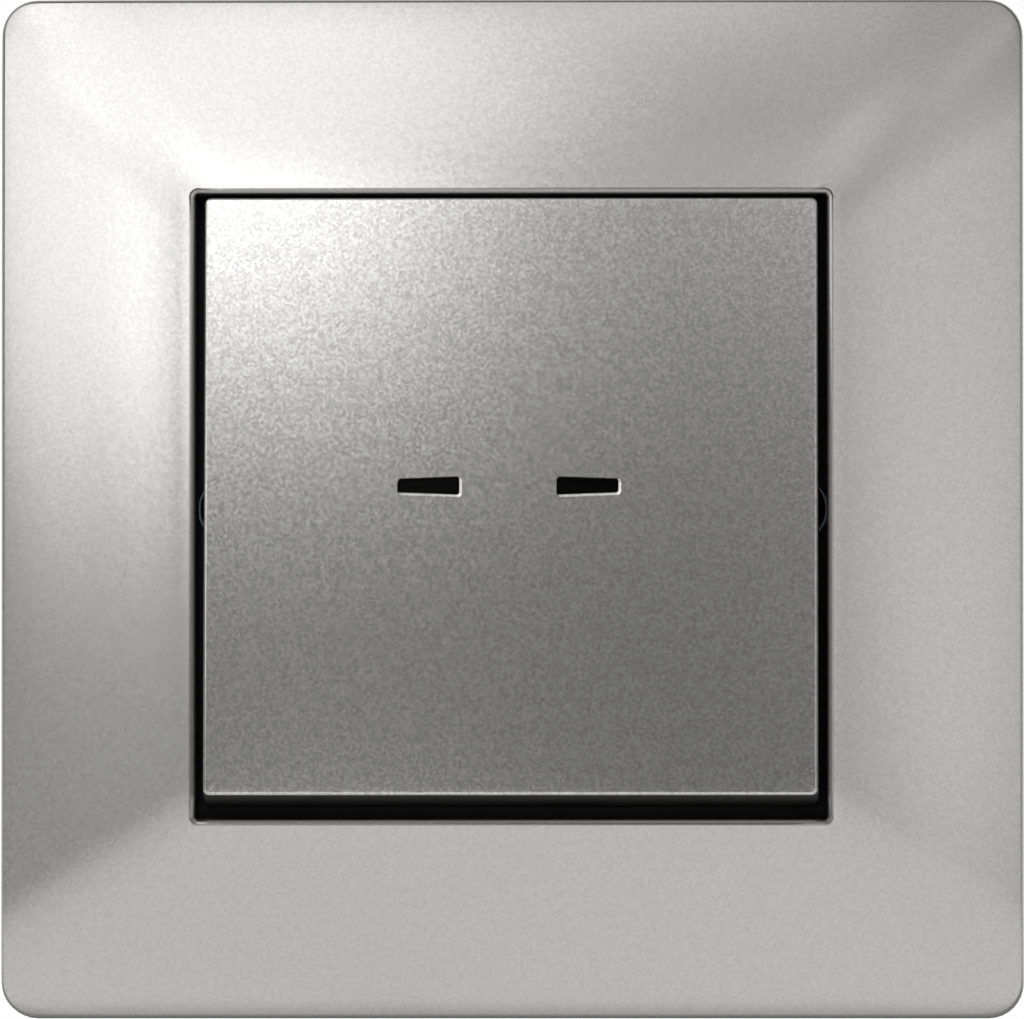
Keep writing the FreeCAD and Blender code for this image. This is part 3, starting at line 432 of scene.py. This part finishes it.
def block(bm, x0, x1, y0, y1, z0, z1):
    """A closed box between these limits. Its vertices are returned, to be shaped further."""
    middle = Matrix.Translation(((x0 + x1) / 2, (y0 + y1) / 2, (z0 + z1) / 2))
    made = bmesh.ops.create_cube(bm, size=1.0, matrix=middle @ Matrix.Diagonal(
        (x1 - x0, y1 - y0, z1 - z0, 1)))
    return made["verts"]


# Cover frame

RUN = FRAME_HALF - WINDOW_HALF
CROWN_FALL = (CROWN_START + CROWN_END) / 2
CROWN_RADIUS = RUN / math.cos(CROWN_FALL) / (2 * math.sin(CROWN_FALL - CROWN_START))
CROWN_ACROSS = WINDOW_HALF - CROWN_RADIUS * math.sin(CROWN_START)
CROWN_CENTRE = WINDOW_HEIGHT - CROWN_RADIUS * math.cos(CROWN_START)


def arc_height(across, inset):
    """Height of one arched bar at this distance from the middle."""
    over = max(across, CROWN_ACROSS) - CROWN_ACROSS
    return CROWN_CENTRE + math.sqrt((CROWN_RADIUS - inset) ** 2 - over ** 2)


def crown_height(x, z, inset=0.0):
    """Height of the frame's front: two crossed arcs whose diagonal creases are rounded."""
    one = arc_height(abs(x), inset)
    other = arc_height(abs(z), inset)
    over = max((abs(x) + abs(z)) / 2 - CROWN_ACROSS, MITRE_START)
    slope = math.asin(over / CROWN_RADIUS)
    reach = (MITRE_RADIUS - inset) * math.tan(slope) * math.sin(slope)
    share = max(0.0, 1 - abs(one - other) / reach)
    return min(one, other) - reach / 4 * share ** 2


def crowned_band(bm, outer, inner, inset):
    """Bridge two rings and lay the band between them on the crown."""
    bridged = bmesh.ops.bridge_loops(bm, edges=outer + inner)
    rims = set(outer + inner)
    across = list({e for f in bridged["faces"] for e in f.edges} - rims)
    cut = bmesh.ops.subdivide_edges(bm, edges=across, cuts=CROWN_ROWS)
    inside = {v for v in cut["geom_inner"] if isinstance(v, bmesh.types.BMVert)}
    for vertex in inside | {v for e in rims for v in e.verts}:
        vertex.co.y = -crown_height(vertex.co.x, vertex.co.z, inset)


def frame_half_at(height):
    """Half the frame's width at this height, on its drafted side."""
    return FRAME_HALF - height * math.tan(FRAME_DRAFT)


def cover_frame():
    bm = bmesh.new()
    top = frame_half_at(FRAME_EDGE_HEIGHT)
    inner_foot = FRAME_HALF - FRAME_SIDE_WALL
    inner_top = inner_foot - (FRAME_EDGE_HEIGHT - FRAME_SKIN) * math.tan(FRAME_DRAFT)
    collar = WINDOW_HALF + COLLAR_WALL
    inner_corner = FRAME_CORNER / 2
    collar_corner = WINDOW_CORNER + COLLAR_WALL

    def ring(half, radius, y, share=1.0):
        return rounded_ring(bm, half, half * share, radius, y, SIDE_CUTS)

    front_rim = ring(top, FRAME_CORNER, -FRAME_EDGE_HEIGHT, FRAME_HEIGHT_SHARE)
    wall_foot = ring(FRAME_HALF, FRAME_CORNER, 0, FRAME_HEIGHT_SHARE)
    wall_foot_inside = ring(inner_foot, inner_corner, -RING_STEP)
    cavity_rim = ring(inner_top, inner_corner, -FRAME_EDGE_HEIGHT)
    collar_rim = ring(collar, collar_corner, -FRAME_EDGE_HEIGHT)
    collar_foot = ring(collar, collar_corner, COLLAR_BACK)
    window_foot = ring(WINDOW_HALF, WINDOW_CORNER, COLLAR_BACK - RING_STEP, WINDOW_HEIGHT_SHARE)
    window_rim = ring(WINDOW_HALF + WINDOW_ROUNDING, WINDOW_CORNER + WINDOW_ROUNDING,
                      -WINDOW_HEIGHT, WINDOW_HEIGHT_SHARE)
    window_edge = []
    for step in range(EDGE_STEPS, 0, -1):
        angle = math.radians(90 * step / EDGE_STEPS)
        across = WINDOW_ROUNDING * (1 - math.sin(angle))
        fall = WINDOW_ROUNDING * (1 - math.cos(angle))
        window_edge.append(ring(WINDOW_HALF + across, WINDOW_CORNER + across,
                                fall - WINDOW_HEIGHT, WINDOW_HEIGHT_SHARE))
    crowned_band(bm, front_rim, window_rim, 0.0)
    crowned_band(bm, cavity_rim, collar_rim, FRAME_SKIN)
    bridge_in_turn(bm, [front_rim, wall_foot, wall_foot_inside, cavity_rim])
    bridge_in_turn(bm, [collar_rim, collar_foot, window_foot] + window_edge + [window_rim])
    soften(bm, front_rim, FRAME_EDGE_RADIUS)
    frame_ribs(bm)
    frame_latches(bm)
    # The window's edge and the collar take the darker lacquer, which is painted shade, and the
    # inside of the cavity takes bare ABS
    for face in bm.faces:
        centre = face.calc_center_median()
        across = max(abs(centre.x), abs(centre.z))
        if across < WINDOW_HALF + WINDOW_ROUNDING - HAIR:
            face.material_index = 1
        elif across < inner_foot - RING_STEP:
            if -centre.y < crown_height(centre.x, centre.z) - FRAME_SKIN / 2:
                face.material_index = 2
    piece = finished(bm, "lacquered_frame", "insert", LACQUER)
    piece.data.materials.append(WINDOW_EDGE_PAINTED_SHADE)
    piece.data.materials.append(BARE_ABS)
    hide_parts("cover_frame")


def up_to_skin(vertices, back):
    """Raise a block's front corners into the frame's skin, and leave its back ones."""
    for vertex in vertices:
        if vertex.co.y < back - HAIR:
            vertex.co.y = -crown_height(vertex.co.x, vertex.co.z, FRAME_SKIN / 2)


def frame_ribs(bm):
    """Twelve ribs between the collar and the side walls."""
    start, end = FRAME_RIB_SPAN
    half = FRAME_RIB_THICKNESS / 2
    for place in FRAME_RIB_PLACES:
        for turn in range(4):
            rib = block(bm, start, end, FRAME_RIB_BACK - FRAME_RIB_DEPTH, FRAME_RIB_BACK,
                        place - half, place + half)
            bmesh.ops.rotate(bm, verts=rib, cent=(0, 0, 0),
                             matrix=Matrix.Rotation(math.radians(90 * turn), 3, "Y"))
            for vertex in rib:
                skin = -crown_height(vertex.co.x, vertex.co.z, FRAME_SKIN / 2)
                vertex.co.y = max(vertex.co.y, skin)


def frame_latches(bm):
    """Four barbed blades that snap over the carrier's lugs."""
    for side in (-1, 1):
        for place in LATCH_PLACES:
            z0 = place - LATCH_WIDTH / 2
            z1 = place + LATCH_WIDTH / 2
            blade = block(bm, LATCH_INNER, LATCH_INNER + LATCH_WALL, LATCH_FOOT - LATCH_WALL,
                          LATCH_FOOT, z0, z1)
            up_to_skin(blade, LATCH_FOOT)
            barb = block(bm, LATCH_INNER - LATCH_BARB, LATCH_INNER, LATCH_LIP,
                         LATCH_FOOT - LATCH_BARB, z0, z1)
            if side < 0:
                bmesh.ops.scale(bm, vec=(-1, 1, 1), verts=blade + barb)


cover_frame()


# Key

def slit_ring(bm, side, y, wide=0.0, thin=0.0):
    """One slit's outline at depth y: a bar that narrows outwards, with rounded corners.

    It is grown by the wide rim to the right and downwards, and by the thin one elsewhere.
    """
    made = bmesh.ops.create_grid(bm, x_segments=1, y_segments=1, size=1.0,
                                 matrix=Matrix.Rotation(math.radians(90), 4, "X"))
    for vertex in made["verts"]:
        outward = vertex.co.x * side > 0
        half = SLIT_OUTER_HALF if outward else SLIT_INNER_HALF
        x = side * (SLIT_OUTER if outward else SLIT_INNER) + SLIT_SHIFT
        x += wide if vertex.co.x > 0 else -thin
        z = SLIT_RISE + (half + thin if vertex.co.z > 0 else -half - wide)
        vertex.co = (x, y, z)
    return round_corners(bm, made["verts"], SLIT_CORNER + (wide + thin) / 2)


def rocker_key():
    bm = bmesh.new()

    def ring(inset, y):
        """The key's outline at depth y, drafted, and this far inside its outer face."""
        deep = y - KEY_FACE
        half_x = KEY_HALF_WIDTH - inset + deep * math.tan(KEY_SIDE_DRAFT)
        half_z = KEY_HALF_LENGTH - inset + deep * math.tan(KEY_END_DRAFT)
        return rounded_ring(bm, half_x, half_z, KEY_CORNER, y)

    face = ring(KEY_FACE_BORDER, KEY_FACE)
    edge = ring(0.0, KEY_FACE + RING_STEP)
    skirt = ring(0.0, KEY_BACK)
    skirt_inside = ring(KEY_SKIRT_WALL, KEY_BACK - RING_STEP)
    pocket = ring(KEY_SKIRT_WALL, KEY_INNER)
    slits = []
    for side in (-1, 1):
        slits.append([slit_ring(bm, side, KEY_FACE, SLIT_RIM, SLIT_THIN_RIM),
                      slit_ring(bm, side, KEY_FACE + SLIT_RIM_DEPTH),
                      slit_ring(bm, side, KEY_INNER)])
    front = face + [e for rings in slits for e in rings[0]]
    back = pocket + [e for rings in slits for e in rings[-1]]
    bmesh.ops.triangle_fill(bm, use_beauty=True, edges=front)
    bmesh.ops.triangle_fill(bm, use_beauty=True, edges=back)
    bridge_in_turn(bm, [face, edge, skirt, skirt_inside, pocket])
    for rings in slits:
        bridge_in_turn(bm, rings)
    soften(bm, edge, KEY_EDGE)
    key_ribs(bm)
    for side in (-1, 1):
        for place in (-POST_Z, POST_Z):
            clip_post(bm, side, place)
    bmesh.ops.rotate(bm, verts=bm.verts, cent=(0, PIVOT_DEPTH, 0),
                     matrix=Matrix.Rotation(-KEY_TILT, 3, "X"))
    piece = finished(bm, "lacquered_key", "key", KEY_LACQUER_WITH_PAINTED_GLINT, sharp=KEY_SHARP)
    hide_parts("rocker_key")


def key_ribs(bm):
    """Two ribs each way on the inside of the key's face."""
    half = KEY_RIB_THICKNESS / 2
    x = KEY_HALF_WIDTH - KEY_RIB_MARGIN
    z = KEY_HALF_LENGTH - KEY_RIB_MARGIN
    front = KEY_INNER - half / 2
    back = KEY_INNER + KEY_RIB_HEIGHT
    for place in KEY_RIB_PLACES:
        block(bm, place - half, place + half, front, back, -z, z)
        block(bm, -x, x, front, back, place - half, place + half)


def clip_post(bm, side, place):
    """A square post on the carriage and a barbed blade that snaps through it."""
    half = POST_SIZE / 2
    post = block(bm, POST_X - half, POST_X + half, KEY_INNER - OVERLAP, POST_END, place - half,
                 place + half)
    z0 = place - HOOK_WIDTH / 2
    z1 = place + HOOK_WIDTH / 2
    inner = POST_X - HOOK_THICKNESS / 2
    outer = POST_X + HOOK_THICKNESS / 2
    blade = block(bm, inner, outer, POST_END - OVERLAP, HOOK_END, z0, z1)
    barb = block(bm, outer, outer + HOOK_BARB, HOOK_LIP, HOOK_END, z0, z1)
    for vertex in barb:
        if vertex.co.y > (HOOK_LIP + HOOK_END) / 2 and vertex.co.x > outer + HOOK_BARB / 2:
            vertex.co.x = outer
    if side < 0:
        bmesh.ops.scale(bm, vec=(-1, 1, 1), verts=post + blade + barb)


rocker_key()


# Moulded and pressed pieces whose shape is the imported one, with their edges eased

BODY_OF = {child.name: body for body, holder in frame["bodies"].items()
           for child in holder.children}
# Each piece's node, finish, material slot and edge width in millimetres
EASED_PIECES = {
    "moulded_base": ("housing_base", WHITE_UREA, "base_white", 0.2),
    "moulded_cover": ("housing_cover", GREY_COVER, "cover_grey", 0.12),
    "pressed_plate": ("support_plate", ZINC_STEEL, "zinc_steel", 0.12),
    "moulded_carrier": ("frame_carrier", BLACK_NYLON_PAINTED_SHADE, "black_carrier", 0.1),
    "moulded_carriage": ("rocker_carriage", GREY_ACETAL, "carriage_grey", 0.1),
    "bent_claw_left": ("claw_left", ZINC_STEEL, "zinc_steel", 0.12),
    "bent_claw_right": ("claw_right", ZINC_STEEL, "zinc_steel", 0.12),
    "release_key_left": ("release_lever_left", ORANGE_POLYESTER, "release_orange", 0.15),
    "release_key_right": ("release_lever_right", ORANGE_POLYESTER, "release_orange", 0.15),
}


def packed_copy(node):
    """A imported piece's mesh in millimetres, its loose triangles joined."""
    bm = bmesh.new()
    bm.from_mesh(nodes[node].data)
    bmesh.ops.scale(bm, vec=(1 / MM, 1 / MM, 1 / MM), verts=bm.verts)
    bmesh.ops.remove_doubles(bm, verts=bm.verts, dist=PACKED_MERGE_DISTANCE)
    bmesh.ops.dissolve_limit(bm, angle_limit=math.radians(1.0), verts=bm.verts, edges=bm.edges)
    return bm


def ease_edges():
    """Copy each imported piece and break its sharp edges."""
    for name, (node, surface, slot, width) in EASED_PIECES.items():
        piece = finished(packed_copy(node), name, BODY_OF[node], surface,
                         sharp=PACKED_SHARP, eased=width)
        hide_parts(node)


ease_edges()


def clamp_spring(side_name):
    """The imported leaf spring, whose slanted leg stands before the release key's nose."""
    node = "clamp_spring_" + side_name
    piece = finished(packed_copy(node), "leaf_spring_" + side_name, None, SPRING_STEEL,
                     sharp=PACKED_SHARP)
    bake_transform(piece)
    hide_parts(node)


clamp_spring("left")
clamp_spring("right")


# Springs and screws

WIRE_SIDES = 12
TURN_STEPS = 28


def coil_spring(name, seat, coil_radius, wire_radius, turns, front):
    """A compression spring of round wire along Y, its ends ground flat, that its seat holds."""
    x, back, z = seat
    pitch = (back - front) / turns
    bm = bmesh.new()
    section = bmesh.ops.create_circle(
        bm, segments=WIRE_SIDES, radius=wire_radius,
        matrix=Matrix.Translation((x + coil_radius, front - pitch / 2, z)))
    edges = list({e for v in section["verts"] for e in v.link_edges})
    steps = TURN_STEPS * (turns + 1)
    bmesh.ops.spin(bm, geom=section["verts"] + edges, cent=(x, 0, z), axis=(0, 1, 0),
                   dvec=(0, pitch / TURN_STEPS, 0), angle=math.tau * (turns + 1), steps=steps)
    for depth, outward in ((front, -1), (back, 1)):
        cut = bmesh.ops.bisect_plane(bm, geom=list(bm.verts) + list(bm.edges) + list(bm.faces),
                                     plane_co=(0, depth, 0), plane_no=(0, outward, 0),
                                     clear_outer=True)
        rim = [e for e in cut["geom_cut"] if isinstance(e, bmesh.types.BMEdge)]
        bmesh.ops.holes_fill(bm, edges=rim)
    piece = finished(bm, name, "insert", SPRING_STEEL)
    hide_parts(name.replace("wound_", ""))
    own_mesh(piece)


# The plunger's axis, and each spring's seat, as packed
PLUNGER_Z = -8.45
coil_spring("wound_return_spring", (0.0, 0.85, PLUNGER_Z), 2.5, 0.3, 3, -5.1)
coil_spring("wound_contact_spring", (1.8, 13.15, PLUNGER_Z), 1.4, 0.2, 3, 7.85)

SCREW_X = 22.5
SCREW_HEAD_FRONT = -2.55
SCREW_HEAD_BACK = -1.25
SCREW_HEAD_RADIUS = 2.6
SCREW_SLOT_HALF = 0.4
SCREW_SLOT_DEPTH = 0.65
SCREW_LIP_OVERLAP = 0.02
SCREW_EDGE = 0.18
SCREW_EDGE_STEPS = 3
SCREW_SIDES = 48
SCREW_CORE = 1.2
SCREW_THREAD = 1.5
SCREW_PITCH = 0.5
SCREW_END = 13.45
THREAD_SUNK = 0.05
THREAD_STEPS = 24


def claw_screw(side_name, side):
    """A slotted cheese-head machine screw with a rolled M3 thread."""
    bm = bmesh.new()
    x = side * SCREW_X
    along = Matrix.Rotation(math.radians(-90), 4, "X")

    def disc(radius, y):
        return bmesh.ops.create_circle(bm, cap_ends=True, segments=SCREW_SIDES, radius=radius,
                                       matrix=Matrix.Translation((x, y, 0)) @ along)["verts"]

    def rod(radius, y0, y1):
        face = disc(radius, y0)[0].link_faces[0]
        grown = bmesh.ops.extrude_face_region(bm, geom=[face], use_keep_orig=True)["geom"]
        ends = [v for v in grown if isinstance(v, bmesh.types.BMVert)]
        bmesh.ops.translate(bm, verts=ends, vec=(0, y1 - y0, 0))
        return face

    slot_floor = SCREW_HEAD_FRONT + SCREW_SLOT_DEPTH
    rod(SCREW_HEAD_RADIUS, slot_floor, SCREW_HEAD_BACK)
    for half in (-1, 1):
        lip = disc(SCREW_HEAD_RADIUS, SCREW_HEAD_FRONT)[0].link_faces[0]
        cut = bmesh.ops.bisect_plane(bm, geom=list(lip.verts) + list(lip.edges) + [lip],
                                     plane_co=(0, 0, half * SCREW_SLOT_HALF),
                                     plane_no=(0, 0, -half), clear_outer=True)
        face = next(f for f in cut["geom"] if isinstance(f, bmesh.types.BMFace))
        rounded = [e for e in face.edges
                   if max(abs(v.co.z) for v in e.verts) > SCREW_SLOT_HALF + HAIR]
        grown = bmesh.ops.extrude_face_region(bm, geom=[face], use_keep_orig=True)["geom"]
        ends = [v for v in grown if isinstance(v, bmesh.types.BMVert)]
        bmesh.ops.translate(bm, verts=ends, vec=(0, SCREW_SLOT_DEPTH + SCREW_LIP_OVERLAP, 0))
        soften(bm, rounded, SCREW_EDGE, SCREW_EDGE_STEPS)
    rod(SCREW_CORE, SCREW_HEAD_BACK - OVERLAP, SCREW_END)
    root = SCREW_CORE - THREAD_SUNK
    corners = [bm.verts.new((x + r, SCREW_HEAD_BACK + y, 0)) for r, y in (
        (root, 0.0), (SCREW_THREAD, SCREW_PITCH / 2), (root, SCREW_PITCH))]
    ridge = [bm.edges.new(pair) for pair in zip(corners, corners[1:])]
    turns = int((SCREW_END - SCREW_HEAD_BACK) / SCREW_PITCH) - 2
    bmesh.ops.spin(bm, geom=corners + ridge, cent=(x, 0, 0), axis=(0, 1, 0),
                   dvec=(0, SCREW_PITCH / THREAD_STEPS, 0), angle=math.tau * turns,
                   steps=THREAD_STEPS * turns)
    body = "claw_screw_" + side_name
    piece = finished(bm, "threaded_screw_" + side_name, body, BLACK_STEEL_PAINTED_SHADE)
    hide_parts(body)


claw_screw("left", -1)
claw_screw("right", 1)


# Floor, room, lamps and camera

# The floor's height in millimetres and its width in metres
FLOOR_DROP = -41.6
FLOOR_SIZE = 4.0
# The floor's glow as metal and glass find it, in the room and under the switch, where a painted
# shadow dims it, and how far from the wall plane that painted shadow reaches and ends, in
# millimetres
FLOOR_GLOW = 0.78
PAINTED_SHADOW_GLOW = 0.3
PAINTED_SHADOW_REACH = 5.5
PAINTED_SHADOW_EDGE = 8.5
# How much of the floor that the eye sees is plain white
FLOOR_WHITE = 0.4


def seen_by(tree, *kinds):
    """1 for these kinds of rays and 0 for all others."""
    ray = tree.nodes.new("ShaderNodeLightPath")
    seen = ray.outputs[kinds[0]]
    for kind in kinds[1:]:
        seen = add(tree, "ShaderNodeMath", {0: seen, 1: ray.outputs[kind]},
                   operation="MAXIMUM").outputs[0]
    return seen


def pale_paint():
    """Matt white paint. It shows the shadow, and metal finds it glowing evenly, but for a painted
    shadow under the switch.
    """
    made, tree, shader, place = material("matt_white_paint", Roughness=0.9)
    tree.links.new(cloudy(tree, place, 8.0, "#f6f6f4", "#f1f1ee"), shader.inputs["Base Color"])
    white = add(tree, "ShaderNodeEmission", {"Strength": 1.0})
    depth = add(tree, "ShaderNodeSeparateXYZ", {"Vector": place})
    away = add(tree, "ShaderNodeMath", {0: depth.outputs["Y"]}, operation="ABSOLUTE")
    # Painted shadow: the glow that metal finds on the floor is dimmer under the switch
    under = add(tree, "ShaderNodeMapRange",
                {"Value": away.outputs[0], "From Min": PAINTED_SHADOW_REACH * MM,
                 "From Max": PAINTED_SHADOW_EDGE * MM, "To Min": PAINTED_SHADOW_GLOW, "To Max": FLOOR_GLOW})
    glow = add(tree, "ShaderNodeEmission", {"Strength": under.outputs["Result"]})
    share = add(tree, "ShaderNodeMath", {0: seen_by(tree, "Is Camera Ray"), 1: FLOOR_WHITE},
                operation="MULTIPLY")
    pale = add(tree, "ShaderNodeMixShader", {0: share.outputs[0], 1: shader.outputs[0],
                                             2: white.outputs[0]})
    mixed = add(tree, "ShaderNodeMixShader",
                {0: seen_by(tree, "Is Glossy Ray", "Is Transmission Ray"), 1: pale.outputs[0],
                 2: glow.outputs[0]})
    tree.links.new(mixed.outputs[0], tree.nodes["Material Output"].inputs["Surface"])
    return made


def floor():
    """A pale floor just under the frame."""
    bm = bmesh.new()
    bmesh.ops.create_grid(bm, x_segments=1, y_segments=1, size=FLOOR_SIZE / 2,
                          matrix=Matrix.Translation((0, 0, FLOOR_DROP * MM)))
    mesh = bpy.data.meshes.new("studio_floor")
    bm.to_mesh(mesh)
    bm.free()
    mesh.materials.append(pale_paint())
    sheet = bpy.data.objects.new("studio_floor", mesh)
    bpy.context.scene.collection.objects.link(sheet)


# Light of the room: even on matt surfaces, and for metal dim in front and white behind
ROOM_LIGHT = 0.7
ROOM_FRONT = 0.01
ROOM_BEHIND = 1.0


def room():
    """A studio that is dark towards the camera and white behind the switch."""
    world = bpy.data.worlds.new("studio_room")
    world.use_nodes = True
    tree = world.node_tree
    direction = tree.nodes.new("ShaderNodeTexCoord").outputs["Generated"]
    depth = add(tree, "ShaderNodeSeparateXYZ", {"Vector": direction})
    turned = add(tree, "ShaderNodeMapRange",
                 {"Value": depth.outputs["Y"], "From Min": -0.3, "From Max": 0.9,
                  "To Min": ROOM_FRONT, "To Max": ROOM_BEHIND}, interpolation_type="SMOOTHSTEP")
    even = add(tree, "ShaderNodeMix", {"Factor": seen_by(tree, "Is Diffuse Ray"),
                                       "A": turned.outputs["Result"], "B": ROOM_LIGHT})
    white = add(tree, "ShaderNodeMix",
                {"Factor": seen_by(tree, "Is Camera Ray", "Is Transmission Ray"),
                 "A": even.outputs["Result"], "B": 1.0})
    background = tree.nodes["Background"]
    background.inputs["Color"].default_value = linear("#ffffff")
    tree.links.new(white.outputs["Result"], background.inputs["Strength"])
    bpy.context.scene.world = world


LAMP_DISTANCE = 0.16
# Each lamp's direction from the switch (share of the way to the right, share of the way up), its
# radius in metres and its radiance
LAMPS = {
    "high_left_lamp": (-0.685, 0.277, 0.04, 1.46),
    "corner_lamp": (-0.66, 0.64, 0.04, 1.0),
    "left_spot": (-0.528, 0.12, 0.012, 2.70),
    "left_filler": (-0.434, 0.286, 0.012, 1.98),
    "hot_spot": (-0.164, 0.354, 0.018, 3.04),
    "upper_left_lamp": (-0.296, 0.61, 0.052, 1.59),
    "top_lamp": (-0.026, 0.84, 0.027, 0.73),
    "upper_right_lamp": (0.228, 0.425, 0.027, 0.65),
    "high_right_lamp": (0.357, 0.708, 0.053, 0.48),
    "right_lamp": (0.525, 0.116, 0.063, 0.23),
    "far_right_lamp": (0.748, 0.194, 0.071, 0.33),
    "low_spot": (-0.125, -0.17, 0.023, 0.84),
}


def lamps():
    """Round soft lamps close to the switch. Their patches are what the lacquer shows."""
    for name, (right, up, radius, radiance) in LAMPS.items():
        forward = -math.sqrt(1 - right ** 2 - up ** 2)
        place = Vector((right, forward, up)) * LAMP_DISTANCE
        lamp = bpy.data.lights.new(name, "AREA")
        lamp.shape = "DISK"
        lamp.size = 2 * radius
        lamp.energy = radiance * math.pi ** 2 * radius ** 2
        lit = bpy.data.objects.new(name, lamp)
        lit.location = place
        lit.rotation_mode = "QUATERNION"
        lit.rotation_quaternion = place.to_track_quat("Z", "Y")
        lit.visible_camera = False
        bpy.context.scene.collection.objects.link(lit)


CAMERA_PLACE = Vector((0.0245, -1.35, -0.0405))
VIEW_WIDTH = 82.35 * MM
VIEW_AIM = Vector((-0.0001, 0, 0.00004))


def camera():
    """A long lens a little to the right of the switch and a little below its middle."""
    lens = bpy.data.cameras.new("camera")
    lens.sensor_width = 36.0
    lens.lens = lens.sensor_width * CAMERA_PLACE.length / VIEW_WIDTH
    eye = bpy.data.objects.new("camera", lens)
    eye.location = CAMERA_PLACE
    eye.rotation_mode = "QUATERNION"
    eye.rotation_quaternion = (CAMERA_PLACE - VIEW_AIM).to_track_quat("Z", "Y")
    bpy.context.scene.collection.objects.link(eye)
    bpy.context.scene.camera = eye


floor()
room()
lamps()
camera()
bpy.context.scene.view_settings.view_transform = "Standard"
